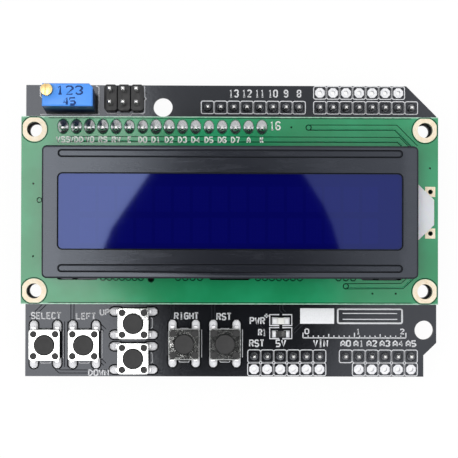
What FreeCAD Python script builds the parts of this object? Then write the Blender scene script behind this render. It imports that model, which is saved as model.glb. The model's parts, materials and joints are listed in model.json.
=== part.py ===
import FreeCAD, Part
import math
import os
import Sketcher

# A two-line character display and six push buttons on a plug-on carrier board.
# Millimetres, +Z up, X to the right along the display, Y towards the edge with the trimmer.
# The origin is below the middle of the outline, in the plane of the header pin tips.

doc = FreeCAD.newDocument("keypad_display")
sheet = doc.addObject("Spreadsheet::Sheet", "sizes")

# Driving sizes: alias, number, what it measures
SIZES = [
    ("board_thickness", 1.6, "carrier board"),
    ("board_top_margin", 1.25, "trimmer back face to the board's upper edge"),
    ("board_corner_cut", 5.9, "leg of the cut-off upper right corner"),
    ("board_step_inset", 2.5, "how far the lower right edge steps in"),
    ("board_step_height", 4.15, "straight part of that stepped edge"),
    ("board_step_slope", 2.42, "height of the slope above the step"),
    ("fixing_hole_radius", 1.85, "two holes that take the host board's screws"),
    ("fixing_hole_left_offset", 8.64, "upper hole to the first upper header pin"),
    ("fixing_hole_right_offset", 2.54, "lower hole past the last lower header pin"),
    ("fixing_hole_rise", 5.08, "lower hole above the lower header row"),
    ("pitch", 2.54, "header pin spacing"),
    ("pin_width", 0.64, "square header pin"),
    ("pin_tip", 0.2, "bevel at a pin's ends"),
    ("pin_reach", 6.0, "long end of a header pin"),
    ("pin_stub", 1.4, "soldered end past the board"),
    ("strip_height", 2.54, "header plastic"),
    ("strip_depth", 2.5, "header plastic across a single row"),
    ("strip_notch", 0.45, "bevel between two header cells"),
    ("upper_left_count", 8, "pins"),
    ("upper_right_count", 8, "pins"),
    ("lower_left_count", 6, "pins"),
    ("lower_right_count", 6, "pins"),
    ("upper_row_inset", 4.24, "upper header row to the board's upper edge"),
    ("lower_row_inset", 3.94, "lower header row to the board's lower edge"),
    ("upper_header_gap", 4.064, "last pin of one upper header to the first of the next"),
    ("lower_header_gap", 5.08, "the same in the lower row"),
    ("header_right_margin", 4.9, "last pin column to the board's right edge"),
    ("spare_hole_radius", 0.5, "empty plated holes beside the headers"),
    ("spare_upper_rise", 2.9, "upper spare holes above the header row beside them"),
    ("spare_upper_count", 7, "holes"),
    ("spare_lower_left_count", 6, "holes"),
    ("spare_lower_right_count", 5, "holes"),
    ("program_columns", 3, "upright header, two rows"),
    ("program_top_margin", 0.07, "its plastic to the board's upper edge"),
    ("program_gap", 1.72, "its plastic to the trimmer"),
    ("button_size", 6.0, "square metal cover"),
    ("button_base_height", 3.2, "moulded base"),
    ("button_cover_sheet", 0.25, "cover metal"),
    ("button_cover_corner", 0.45, "bevelled cover corner"),
    ("button_cover_shy", 0.1, "cover past the base on the lead sides"),
    ("button_skirt_width", 3.6, "folded side of the cover"),
    ("button_skirt_drop", 1.8, "how far it reaches down the base"),
    ("button_post_offset", 2.1, "staked post from the centre, both ways"),
    ("button_post_radius", 0.58, "staked post"),
    ("button_post_head", 0.12, "post above the cover"),
    ("button_post_gap", 0.04, "cover hole round a post"),
    ("button_well_radius", 2.25, "eight-sided well under the cover, to its flats"),
    ("button_well_depth", 1.9, "depth of that well"),
    ("button_stem_radius", 1.9, "pressed stem"),
    ("button_stem_rise", 0.5, "stem above the cover"),
    ("button_running_gap", 0.05, "stem in the cover"),
    ("button_flange_radius", 2.1, "collar that keeps the stem in"),
    ("button_flange_height", 0.6, "collar thickness"),
    ("button_nub_radius", 0.6, "nub on the dome"),
    ("dome_height", 0.4, "snap dome"),
    ("dome_sheet", 0.08, "dome metal"),
    ("dome_crown_radius", 0.9, "flat middle of the dome"),
    ("dome_side_gap", 0.15, "dome rim to the well wall"),
    ("dome_top_gap", 0.02, "nub over the dome"),
    ("lead_pitch", 4.5, "between the two contact strips of a button"),
    ("lead_width", 0.7, "contact strip"),
    ("lead_sheet", 0.2, "contact strip metal"),
    ("lead_level", 0.7, "strip inside the base above the board"),
    ("lead_reach", 1.55, "foot past the cover edge"),
    ("lead_bend", 0.3, "slope of the bent lead"),
    ("select_left_margin", 0.94, "select button cover to the board's left edge"),
    ("gap_select_left", 1.5, "select to left button"),
    ("gap_left_up", 1.97, "left button to the leads of the up button"),
    ("gap_up_right", 2.23, "leads of the up button to the right button"),
    ("gap_right_reset", 1.9, "right to reset button"),
    ("gap_reset_header", 2.67, "reset button to the first lower header pin"),
    ("outer_button_rise", 6.16, "select and left buttons above the lower edge"),
    ("inner_button_rise", 6.38, "right and reset buttons above the lower edge"),
    ("down_bottom_margin", 0.57, "down button cover to the lower edge"),
    ("gap_down_up", 0.73, "down to up button"),
    ("gap_up_display", 0.78, "up button to the display board"),
    ("trimmer_width", 9.53, "trimmer body"),
    ("trimmer_depth", 4.33, "trimmer body"),
    ("trimmer_height", 10.03, "trimmer body above its feet"),
    ("trimmer_left_margin", 3.98, "body to the board's left edge"),
    ("trimmer_display_gap", 0.78, "body to the display board"),
    ("trimmer_foot", 0.38, "feet under the body"),
    ("trimmer_foot_width", 1.2, "feet along the body"),
    ("trimmer_corner", 0.7, "bevelled upright corner"),
    ("trimmer_edge", 0.25, "bevel round the top"),
    ("trimmer_lean", 3.6, "degrees that the body leans back"),
    ("trimmer_pin_width", 0.5, "three pins"),
    ("trimmer_hole_width", 0.8, "filled holes that the slanting pins pass"),
    ("trimmer_pin_stub", 1.2, "pin past the board"),
    ("trimmer_pin_count", 3, "pins"),
    ("screw_side_inset", 0.88, "screw centre to the left face, which its head overhangs"),
    ("screw_back_inset", 1.28, "screw centre to the back face"),
    ("screw_head_radius", 1.12, "slotted head"),
    ("screw_head_rise", 0.95, "head above the body"),
    ("screw_head_sink", 0.5, "head inside its recess"),
    ("screw_shaft_radius", 0.6, "shaft"),
    ("screw_shaft_length", 5.5, "shaft below the head"),
    ("screw_running_gap", 0.05, "head and shaft in the body"),
    ("screw_end_gap", 0.3, "bore past the shaft"),
    ("screw_slot_width", 0.5, "driver slot"),
    ("screw_slot_depth", 0.6, "driver slot"),
    ("display_left_overhang", 0.5, "display board past the carrier's left edge"),
    ("display_right_inset", 0.2, "display board short of the carrier's right edge"),
    ("display_depth", 36.0, "display board"),
    ("display_thickness", 1.6, "display board"),
    ("display_hole_inset", 2.5, "corner hole centre to both edges"),
    ("display_hole_radius", 1.45, "corner holes"),
    ("carrier_hole_radius", 1.25, "narrower holes below them in the carrier"),
    ("display_pin_count", 16, "pins"),
    ("display_pin_start", 8.0, "first pin to the display board's left edge"),
    ("display_pin_inset", 2.25, "pin row to the display board's upper edge"),
    ("backlight_hole_radius", 0.45, "two wire holes beside the backlight"),
    ("backlight_hole_inset", 1.46, "those holes to the display board's right edge"),
    ("backlight_hole_spacing", 8.0, "between them"),
    ("bezel_side_margin", 4.5, "bezel to both ends of the display board"),
    ("bezel_lower_margin", 5.6, "bezel to the display board's lower edge"),
    ("bezel_upper_margin", 6.5, "bezel to the display board's upper edge"),
    ("bezel_height", 6.5, "pressed frame above the display board"),
    ("bezel_sheet", 0.4, "frame metal"),
    ("bezel_corner", 0.9, "upright corners"),
    ("bezel_rim", 0.45, "bevelled top edge"),
    ("window_end_margin", 3.1, "window to the bezel's ends"),
    ("window_upper_margin", 4.75, "window to the bezel's upper edge"),
    ("window_lower_margin", 5.0, "window to the bezel's lower edge"),
    ("window_corner", 0.7, "window corner radius"),
    ("groove_width", 1.3, "pressed stiffening groove"),
    ("groove_depth", 0.15, "pressed stiffening groove"),
    ("groove_end_margin", 3.1, "groove to the bezel's ends"),
    ("groove_upper_inset", 1.5, "groove centre to the bezel's upper edge"),
    ("groove_lower_inset", 1.9, "groove centre to the bezel's lower edge"),
    ("tab_count", 3, "bent tabs along each long side"),
    ("tab_spacing", 29.15, "between them"),
    ("tab_width", 2.4, "bezel tab"),
    ("tab_reach", 1.0, "tab past the display board"),
    ("tab_twist", 30, "degrees that its end is twisted, which holds the bezel"),
    ("tab_slot_length", 8.2, "slot of the display board that a tab passes"),
    ("tab_slot_gap", 0.1, "slot inside the bezel wall"),
    ("tab_slot_lower_reach", 0.95, "slot past the bezel's lower edge"),
    ("tab_slot_upper_reach", 0.3, "slot past the bezel's upper edge"),
    ("bezel_corner_gap", 0.75, "open corner between two folded walls"),
    ("bezel_corner_web", 0.7, "closed part above that open corner"),
    ("locating_hole_radius", 0.65, "small hole beside the bezel's lower edge"),
    ("locating_hole_start", 24.9, "that hole to the display board's left edge"),
    ("locating_hole_drop", 0.8, "that hole below the bezel's lower edge"),
    ("glass_sheet", 1.1, "each of the two glass plates"),
    ("glass_side_gap", 0.3, "front glass in the bezel"),
    ("glass_ledge", 2.7, "contact ledge of the front glass"),
    ("strip_width", 2.0, "rubber contact strip"),
    ("strip_end_gap", 3.0, "contact strip short of the glass ends"),
    ("backlight_gap", 0.2, "backlight to the contact strips"),
    ("backlight_tab_length", 3.4, "tab past the bezel"),
    ("backlight_tab_height", 2.8, "tab above the display board"),
    ("backlight_tab_root", 11.0, "tab at the bezel"),
    ("backlight_tab_tip", 4.8, "tab at its end"),
    ("backlight_notch_gap", 0.2, "bezel notch round the tab"),
    ("chip_count", 2, "moulded driver covers under the display board"),
    ("chip_radius", 6.0, "driver cover"),
    ("chip_height", 1.2, "driver cover"),
    ("chip_crown_radius", 3.5, "its flat middle"),
    ("chip_spacing", 22.0, "between the two"),
    ("chip_length", 2.0, "lamp and resistor"),
    ("chip_depth", 1.25, "lamp and resistor"),
    ("resistor_height", 0.5, "resistor"),
    ("resistor_cap", 0.4, "metal end of the resistor"),
    ("resistor_cap_proud", 0.03, "metal end past the body"),
    ("lamp_base_height", 0.35, "lamp carrier"),
    ("lamp_lens_length", 1.2, "lamp lens"),
    ("lamp_lens_height", 0.7, "lamp lens"),
    ("lamp_column", 2, "lower header column the lamp lines up with"),
    ("lamp_rise", 6.85, "lamp above the lower header row"),
    ("resistor_rise", 4.3, "resistor above the lower header row"),
    ("lamp_side_shift", 0.1, "both past that column"),
]


class Size:
    """A number together with the sheet formula that gives it."""

    def __init__(self, number, formula):
        self.number = number
        self.formula = formula

    def __add__(self, other):
        other = size(other)
        return Size(self.number + other.number, f"({self.formula} + {other.formula})")

    def __sub__(self, other):
        other = size(other)
        return Size(self.number - other.number, f"({self.formula} - {other.formula})")

    def __mul__(self, other):
        other = size(other)
        return Size(self.number * other.number, f"({self.formula} * {other.formula})")

    def __truediv__(self, other):
        other = size(other)
        return Size(self.number / other.number, f"({self.formula} / {other.formula})")

    def __neg__(self):
        return Size(-self.number, f"(-1 * {self.formula})")

    def __radd__(self, other):
        return size(other) + self

    def __rsub__(self, other):
        return size(other) - self

    def __rmul__(self, other):
        return size(other) * self


def size(value):
    """Give a plain number as a Size."""
    if isinstance(value, Size):
        return value
    return Size(value, repr(value))


class Named:
    """The driving sizes by name."""


s = Named()
for line, (alias, number, note) in enumerate(SIZES, start=1):
    sheet.set(f"A{line}", note)
    sheet.set(f"B{line}", str(number))
    sheet.setAlias(f"B{line}", alias)
    setattr(s, alias, Size(number, f"sizes.{alias}"))
doc.recompute()

QUARTER_TURN = 90
FULL_TURN = 2 * math.pi
PROGRAM_ROWS = 2
BUTTON_STRIPS = 2
COVER_SIDES = 10
STRAIGHT = 0.999
NEAR = 1e-4

# Levels above the pin tips
board_bottom = s.pin_reach + s.strip_height
board_top = board_bottom + s.board_thickness
display_bottom = board_top + s.strip_height
display_top = display_bottom + s.display_thickness

# Columns, worked out from the left edge of the carrier to its right edge
half_button = s.button_size / 2
half_leads = half_button + s.lead_reach
select_offset = s.select_left_margin + half_button
left_offset = select_offset + s.button_size + s.gap_select_left
up_offset = left_offset + half_button + s.gap_left_up + half_leads
right_offset = up_offset + half_leads + s.gap_up_right + half_button
reset_offset = right_offset + s.button_size + s.gap_right_reset
lower_left_offset = reset_offset + half_button + s.gap_reset_header
lower_left_span = s.pitch * (s.lower_left_count - 1)
lower_right_offset = lower_left_offset + lower_left_span + s.lower_header_gap
lower_right_span = s.pitch * (s.lower_right_count - 1)
last_column_offset = lower_right_offset + lower_right_span
board_width = last_column_offset + s.header_right_margin
overall_width = board_width + s.display_left_overhang
board_right = overall_width / 2
board_left = board_right - board_width

# Rows, worked out from the lower edge of the carrier to its upper edge
down_rise = s.down_bottom_margin + half_button
up_rise = down_rise + s.button_size + s.gap_down_up
display_rise = up_rise + half_button + s.gap_up_display
trimmer_rise = display_rise + s.display_depth + s.trimmer_display_gap
board_depth = trimmer_rise + s.trimmer_depth + s.board_top_margin
board_front = -board_depth / 2
board_back = board_depth / 2

# Header places
upper_row = board_back - s.upper_row_inset
lower_row = board_front + s.lower_row_inset
lower_left_first = board_left + lower_left_offset
lower_right_first = board_left + lower_right_offset
last_column = board_left + last_column_offset
upper_right_first = last_column - s.pitch * (s.upper_right_count - 1)
upper_left_last = upper_right_first - s.upper_header_gap
upper_left_first = upper_left_last - s.pitch * (s.upper_left_count - 1)
HEADERS = [
    ("upper_left", upper_left_first, upper_row, s.upper_left_count),
    ("upper_right", upper_right_first, upper_row, s.upper_right_count),
    ("lower_left", lower_left_first, lower_row, s.lower_left_count),
    ("lower_right", lower_right_first, lower_row, s.lower_right_count),
]
SPARE_ROWS = [
    ("upper", upper_right_first, upper_row + s.spare_upper_rise, s.spare_upper_count),
    ("lower_left", lower_left_first, lower_row - s.pitch, s.spare_lower_left_count),
    ("lower_right", lower_right_first + s.pitch, lower_row - s.pitch, s.spare_lower_right_count),
]
FIXING_HOLES = [
    (upper_left_first - s.fixing_hole_left_offset, upper_row),
    (last_column + s.fixing_hole_right_offset, lower_row + s.fixing_hole_rise),
]

# Display places
display_left = board_left - s.display_left_overhang
display_right = board_right - s.display_right_inset
display_width = display_right - display_left
display_x = (display_left + display_right) / 2
display_front = board_front + display_rise
display_back = display_front + s.display_depth
display_y = (display_front + display_back) / 2
display_pin_first = display_left + s.display_pin_start
display_pin_row = display_back - s.display_pin_inset
display_hole_half_x = display_width / 2 - s.display_hole_inset
display_hole_half_y = s.display_depth / 2 - s.display_hole_inset
bezel_width = display_width - 2 * s.bezel_side_margin
bezel_depth = s.display_depth - s.bezel_lower_margin - s.bezel_upper_margin
bezel_y = display_front + s.bezel_lower_margin + bezel_depth / 2
window_width = bezel_width - 2 * s.window_end_margin
window_depth = bezel_depth - s.window_upper_margin - s.window_lower_margin
window_shift = (s.window_lower_margin - s.window_upper_margin) / 2
tab_offset = bezel_depth / 2 - s.bezel_sheet / 2
first_tab_x = -s.tab_spacing * (s.tab_count - 1) / 2

# Trimmer and programming header places
trimmer_x = board_left + s.trimmer_left_margin + s.trimmer_width / 2
trimmer_back = board_front + trimmer_rise + s.trimmer_depth
program_depth = s.pitch * PROGRAM_ROWS
program_left = board_left + s.trimmer_left_margin + s.trimmer_width + s.program_gap
program_first_x = program_left + s.pitch / 2
program_first_y = board_back - s.program_top_margin - program_depth + s.pitch / 2

# Button places: name, x, y, turned so that its leads point left and right
BUTTONS = [
    ("select_button", board_left + select_offset, board_front + s.outer_button_rise, False),
    ("left_button", board_left + left_offset, board_front + s.outer_button_rise, False),
    ("up_button", board_left + up_offset, board_front + up_rise, True),
    ("down_button", board_left + up_offset, board_front + down_rise, True),
    ("right_button", board_left + right_offset, board_front + s.inner_button_rise, False),
    ("reset_button", board_left + reset_offset, board_front + s.inner_button_rise, False),
]

# Heights inside a button, from the carrier board, and its first contact strip
well_floor = s.button_base_height - s.button_well_depth
dome_top = well_floor + s.dome_height
first_strip_x = -s.lead_pitch / 2 - s.lead_width / 2

SUBPARTS = []


def bind(thing, path, value):
    """Tie one property to the sheet."""
    thing.setExpression(path, size(value).formula)


def new_body(label, x, y, z, turned=False):
    """Start a sub-part with its own origin at x, y, z."""
    body = doc.addObject("PartDesign::Body", label)
    body.Label = label
    body.AllowCompound = True
    if turned:
        up = FreeCAD.Vector(0, 0, 1)
        body.Placement = FreeCAD.Placement(FreeCAD.Vector(), FreeCAD.Rotation(up, QUARTER_TURN))
    bind(body, "Placement.Base.x", x)
    bind(body, "Placement.Base.y", y)
    bind(body, "Placement.Base.z", z)
    SUBPARTS.append(body)
    return body


def origin_feature(body, role):
    """Find one plane or axis of the body's own origin."""
    return next(part for part in body.Origin.OriginFeatures if part.Role == role)


def new_sketch(body, name, plane="XY_Plane", offset=0):
    """Attach a sketch to one of the body's own planes."""
    sketch = body.newObject("Sketcher::SketchObject", name)
    sketch.AttachmentSupport = [(origin_feature(body, plane), "")]
    sketch.MapMode = "FlatFace"
    bind(sketch, "AttachmentOffset.Base.z", offset)
    return sketch


def tie(sketch, rules):
    """Add constraints together, and bind those that have a size to the sheet."""
    indices = sketch.addConstraint([rule for rule, value in rules])
    for index, (rule, value) in zip(indices, rules):
        if value is not None:
            sketch.setExpression(f"Constraints[{index}]", value.formula)


def point_rules(curve, end, x, y):
    """Constraints that hold a point of a sketch at its place from the sketch's origin."""
    across = Sketcher.Constraint("DistanceX", -1, 1, curve, end, x.number)
    along = Sketcher.Constraint("DistanceY", -1, 1, curve, end, y.number)
    return [(across, x), (along, y)]


def draw_polygon(sketch, points):
    """Draw a closed outline whose corners follow the sheet."""
    points = [(size(x), size(y)) for x, y in points]
    first = sketch.GeometryCount
    lines = []
    for (x1, y1), (x2, y2) in zip(points, points[1:] + points[:1]):
        start = FreeCAD.Vector(x1.number, y1.number, 0)
        end = FreeCAD.Vector(x2.number, y2.number, 0)
        lines.append(Part.LineSegment(start, end))
    sketch.addGeometry(lines, False)
    rules = []
    for index, (x, y) in enumerate(points):
        after = first + (index + 1) % len(points)
        rules.append((Sketcher.Constraint("Coincident", first + index, 2, after, 1), None))
        rules += point_rules(first + index, 1, x, y)
    tie(sketch, rules)


def draw_rectangle(sketch, x, y, width, depth):
    """Draw a rectangle about its middle."""
    x, y = size(x), size(y)
    left = x - width / 2
    right = x + width / 2
    low = y - depth / 2
    high = y + depth / 2
    draw_polygon(sketch, [(left, low), (right, low), (right, high), (left, high)])


def draw_turned(sketch, x, y, width, depth, degrees):
    """Draw a rectangle about its middle, turned by an angle."""
    cosine = math.cos(math.radians(degrees))
    sine = math.sin(math.radians(degrees))
    points = []
    for side, end in ((-1, -1), (1, -1), (1, 1), (-1, 1)):
        across, along = side * width / 2, end * depth / 2
        points.append((x + across * cosine - along * sine, y + across * sine + along * cosine))
    draw_polygon(sketch, points)


def draw_circle(sketch, x, y, radius):
    """Draw a circle whose centre and radius follow the sheet."""
    x, y, radius = size(x), size(y), size(radius)
    centre = FreeCAD.Vector(x.number, y.number, 0)
    circle = Part.Circle(centre, FreeCAD.Vector(0, 0, 1), radius.number)
    index = sketch.addGeometry(circle, False)
    measure = (Sketcher.Constraint("Radius", index, radius.number), radius)
    tie(sketch, point_rules(index, 3, x, y) + [measure])


def draw_regular(sketch, x, y, radius, sides=8):
    """Draw a regular outline whose flats lie at this radius, with flats towards both axes."""
    x, y, radius = size(x), size(y), size(radius)
    points = []
    for corner in range(sides):
        angle = FULL_TURN * (corner + 0.5) / sides
        reach = radius / math.cos(FULL_TURN / sides / 2)
        points.append((x + reach * math.cos(angle), y + reach * math.sin(angle)))
    draw_polygon(sketch, points)


def draw_slot(sketch, x, y, length, width):
    """Draw a straight slot with round ends."""
    x, y = size(x), size(y)
    radius = width / 2
    left = x - length / 2 + radius
    right = x + length / 2 - radius
    first = sketch.GeometryCount
    low, high = y - radius, y + radius
    corner = [(left, low), (right, low), (right, high), (left, high)]
    places = [FreeCAD.Vector(a.number, b.number, 0) for a, b in corner]
    right_tip = FreeCAD.Vector(right.number + radius.number, y.number, 0)
    left_tip = FreeCAD.Vector(left.number - radius.number, y.number, 0)
    sketch.addGeometry(Part.LineSegment(places[0], places[1]), False)
    sketch.addGeometry(Part.Arc(places[1], right_tip, places[2]), False)
    sketch.addGeometry(Part.LineSegment(places[2], places[3]), False)
    sketch.addGeometry(Part.Arc(places[3], left_tip, places[0]), False)
    rules = []
    for line, end, arc, arc_end in ((0, 2, 1, 1), (2, 1, 1, 2), (2, 2, 3, 1), (0, 1, 3, 2)):
        joined = Sketcher.Constraint("Coincident", first + line, end, first + arc, arc_end)
        rules.append((joined, None))
    for line, end, place in ((0, 1, 0), (0, 2, 1), (2, 1, 2), (2, 2, 3)):
        rules += point_rules(first + line, end, *corner[place])
    for arc, centre in ((1, right), (3, left)):
        middle = Sketcher.Constraint("DistanceX", -1, 1, first + arc, 3, centre.number)
        rules.append((middle, centre))
    tie(sketch, rules)


def pad(body, sketch, length, downwards=False):
    """Raise a sketch, or lower it from its plane."""
    feature = body.newObject("PartDesign::Pad", sketch.Name + "_pad")
    feature.Profile = sketch
    bind(feature, "Length", length)
    feature.Reversed = downwards
    body.Tip = feature
    return feature


def pocket(body, sketch, depth, upwards=False):
    """Cut a sketch down from its plane, or up from it."""
    feature = body.newObject("PartDesign::Pocket", sketch.Name + "_pocket")
    feature.Profile = sketch
    bind(feature, "Length", depth)
    feature.Reversed = upwards
    body.Tip = feature
    return feature


def loft(body, kind, lower, upper):
    """Join two outlines with flat sides, as material or as a hollow."""
    feature = body.newObject(f"PartDesign::{kind}Loft", lower.Name + "_loft")
    feature.Profile = lower
    feature.Sections = [upper]
    feature.Ruled = True
    body.Tip = feature
    return feature


def repeat(body, feature, axis, spacing, count):
    """Repeat a feature along one of the body's axes."""
    pattern = body.newObject("PartDesign::LinearPattern", f"{feature.Name}_row_{axis[0]}")
    pattern.Originals = [feature]
    pattern.Direction = (origin_feature(body, axis), [""])
    bind(pattern, "Length", spacing * (count - 1))
    bind(pattern, "Occurrences", count)
    body.Tip = pattern


def repeat_grid(body, feature, spacing, columns, rows):
    """Repeat a feature along x and y."""
    pattern = body.newObject("PartDesign::LinearPattern", feature.Name + "_grid")
    pattern.Originals = [feature]
    pattern.Direction = (origin_feature(body, "X_Axis"), [""])
    bind(pattern, "Length", spacing * (columns - 1))
    bind(pattern, "Occurrences", columns)
    pattern.Direction2 = (origin_feature(body, "Y_Axis"), [""])
    bind(pattern, "Length2", spacing * (rows - 1))
    bind(pattern, "Occurrences2", rows)
    body.Tip = pattern


def dress(body, kind, feature, wanted, property_name, value):
    """Put a fillet or a chamfer on the edges of a feature that pass a test."""
    doc.recompute()
    edges = feature.Shape.Edges
    names = [f"Edge{n}" for n, edge in enumerate(edges, start=1) if wanted(edge)]
    result = body.newObject(f"PartDesign::{kind}", f"{feature.Name}_{kind.lower()}")
    result.Base = (feature, names)
    bind(result, property_name, value)
    body.Tip = result
    return result


def upright(edge):
    """An edge that runs along z."""
    return abs(edge.tangentAt(edge.FirstParameter).z) > STRAIGHT


def level(edge, height):
    """An edge that lies flat at this height."""
    box = edge.BoundBox
    return box.ZLength < NEAR and abs(box.ZMin - height.number) < NEAR


def build_carrier_board():
    """The black carrier with its stepped outline and every drilled hole."""
    body = new_body("carrier_board", 0, 0, board_bottom)
    outline = new_sketch(body, "carrier_outline")
    step_x = board_right - s.board_step_inset
    step_y = board_front + s.board_step_height
    draw_polygon(outline, [
        (board_left, board_front),
        (step_x, board_front),
        (step_x, step_y),
        (board_right, step_y + s.board_step_slope),
        (board_right, board_back - s.board_corner_cut),
        (board_right - s.board_corner_cut, board_back),
        (board_left, board_back),
    ])
    pad(body, outline, s.board_thickness)
    fixing = new_sketch(body, "carrier_fixing_holes", offset=s.board_thickness)
    for x, y in FIXING_HOLES:
        draw_circle(fixing, x, y, s.fixing_hole_radius)
    for side in (-1, 1):
        for end in (-1, 1):
            hole_x = display_x + side * display_hole_half_x
            hole_y = display_y + end * display_hole_half_y
            draw_circle(fixing, hole_x, hole_y, s.carrier_hole_radius)
    pocket(body, fixing, s.board_thickness)
    for name, first_x, row_y, count in SPARE_ROWS:
        spare = new_sketch(body, f"spare_{name}", offset=s.board_thickness)
        draw_regular(spare, first_x, row_y, s.spare_hole_radius)
        repeat(body, pocket(body, spare, s.board_thickness), "X_Axis", s.pitch, count)
    rows = HEADERS + [("display", display_pin_first, display_pin_row, s.display_pin_count)]
    for name, first_x, row_y, count in rows:
        # A soldered hole is filled, so it closes on the square pin
        filled = new_sketch(body, f"soldered_{name}", offset=s.board_thickness)
        draw_rectangle(filled, first_x, row_y, s.pin_width, s.pin_width)
        repeat(body, pocket(body, filled, s.board_thickness), "X_Axis", s.pitch, count)
    program = new_sketch(body, "soldered_program", offset=s.board_thickness)
    draw_rectangle(program, program_first_x, program_first_y, s.pin_width, s.pin_width)
    drilled = pocket(body, program, s.board_thickness)
    repeat_grid(body, drilled, s.pitch, s.program_columns, PROGRAM_ROWS)
    trimmer = new_sketch(body, "soldered_trimmer", offset=s.board_thickness)
    first_x = trimmer_x - s.pitch * (s.trimmer_pin_count - 1) / 2
    hole_y = trimmer_back - s.trimmer_depth / 2
    draw_rectangle(trimmer, first_x, hole_y, s.trimmer_hole_width, s.trimmer_hole_width)
    drilled = pocket(body, trimmer, s.board_thickness)
    repeat(body, drilled, "X_Axis", s.pitch, s.trimmer_pin_count)


def build_header_strip(label, x, y, z, cell_depth, columns, rows):
    """Header plastic: bevelled cells side by side, each with square pin holes."""
    body = new_body(label, x, y, z)
    cell = new_sketch(body, label + "_cell")
    side = s.pitch / 2
    low = -s.pitch / 2 + (s.pitch - cell_depth) / 2 if rows == 1 else -s.pitch / 2
    high = low + cell_depth
    notch = s.strip_notch
    draw_polygon(cell, [
        (-side, low + notch),
        (-side + notch, low),
        (side - notch, low),
        (side, low + notch),
        (side, high - notch),
        (side - notch, high),
        (-side + notch, high),
        (-side, high - notch),
    ])
    for row in range(rows):
        draw_rectangle(cell, 0, s.pitch * row, s.pin_width, s.pin_width)
    repeat(body, pad(body, cell, s.strip_height), "X_Axis", s.pitch, columns)


def build_pins(label, x, y, z, length, columns, rows=1):
    """Square header pins with bevelled ends, one solid for each pin."""
    body = new_body(label, x, y, z)
    square = new_sketch(body, label + "_square")
    draw_rectangle(square, 0, 0, s.pin_width, s.pin_width)
    blank = pad(body, square, length)
    dress(body, "Chamfer", blank, lambda edge: not upright(edge), "Size", s.pin_tip)
    # A pattern repeats additive features, so the bevels are repeated with their pin
    pattern = body.newObject("PartDesign::LinearPattern", label + "_row")
    pattern.TransformMode = "Whole shape"
    pattern.Direction = (origin_feature(body, "X_Axis"), [""])
    bind(pattern, "Length", s.pitch * (columns - 1))
    bind(pattern, "Occurrences", columns)
    if rows > 1:
        pattern.Direction2 = (origin_feature(body, "Y_Axis"), [""])
        bind(pattern, "Length2", s.pitch * (rows - 1))
        bind(pattern, "Occurrences2", rows)
    body.Tip = pattern


def build_headers():
    """The four plug-on headers, the upright programming header and the display's header."""
    plug_length = s.pin_reach + s.strip_height + s.board_thickness + s.pin_stub
    for name, first_x, row_y, count in HEADERS:
        build_header_strip(f"{name}_header", first_x, row_y, s.pin_reach, s.strip_depth, count, 1)
        build_pins(f"{name}_pins", first_x, row_y, 0, plug_length, count)
    columns = s.program_columns
    x, y = program_first_x, program_first_y
    build_header_strip("program_header", x, y, board_top, program_depth, columns, PROGRAM_ROWS)
    build_pins("program_pins", x, y, board_bottom - s.pin_stub, plug_length, columns, PROGRAM_ROWS)
    x, y, count = display_pin_first, display_pin_row, s.display_pin_count
    build_header_strip("display_header", x, y, board_top, s.strip_depth, count, 1)
    low = board_bottom - s.pin_stub
    length = display_top + s.pin_stub - low
    build_pins("display_pins", x, y, low, length, count)


def build_button_base(name, x, y, turned):
    """Moulded base with a keyed well, four posts and two slots for the contact strips."""
    body = new_body(f"{name}_base", x, y, board_top, turned)
    width = s.button_size - 2 * s.button_cover_sheet
    depth = s.button_size - 2 * s.button_cover_shy
    block = new_sketch(body, f"{name}_base_block")
    draw_rectangle(block, 0, 0, width, depth)
    pad(body, block, s.button_base_height)
    well = new_sketch(body, f"{name}_well", offset=s.button_base_height)
    draw_regular(well, 0, 0, s.button_well_radius)
    pocket(body, well, s.button_well_depth)
    posts = new_sketch(body, f"{name}_posts", offset=s.button_base_height)
    for side in (-1, 1):
        for end in (-1, 1):
            post_x = side * s.button_post_offset
            draw_regular(posts, post_x, end * s.button_post_offset, s.button_post_radius)
    pad(body, posts, s.button_cover_sheet + s.button_post_head)
    slots = new_sketch(body, f"{name}_slots", "XZ_Plane", offset=-depth / 2)
    for side in (-1, 1):
        slot_x = side * s.lead_pitch / 2
        slot_z = s.lead_level + s.lead_sheet / 2
        draw_rectangle(slots, slot_x, slot_z, s.lead_width, s.lead_sheet)
    pocket(body, slots, depth, upwards=True)


def build_button_cover(name, x, y, turned):
    """Sheet cover with a stem hole, four post holes and two folded sides."""
    body = new_body(f"{name}_cover", x, y, board_top + s.button_base_height, turned)
    plate = new_sketch(body, f"{name}_plate")
    draw_rectangle(plate, 0, 0, s.button_size, s.button_size)
    blank = pad(body, plate, s.button_cover_sheet)
    dress(body, "Chamfer", blank, upright, "Size", s.button_cover_corner)
    holes = new_sketch(body, f"{name}_cover_holes", offset=s.button_cover_sheet)
    draw_circle(holes, 0, 0, s.button_stem_radius + s.button_running_gap)
    for side in (-1, 1):
        for end in (-1, 1):
            post_x = side * s.button_post_offset
            post_y = end * s.button_post_offset
            draw_regular(holes, post_x, post_y, s.button_post_radius + s.button_post_gap)
    pocket(body, holes, s.button_cover_sheet)
    skirts = new_sketch(body, f"{name}_skirts")
    for side in (-1, 1):
        skirt_x = side * (half_button - s.button_cover_sheet / 2)
        draw_rectangle(skirts, skirt_x, 0, s.button_cover_sheet, s.button_skirt_width)
    pad(body, skirts, s.button_skirt_drop, downwards=True)


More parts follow.
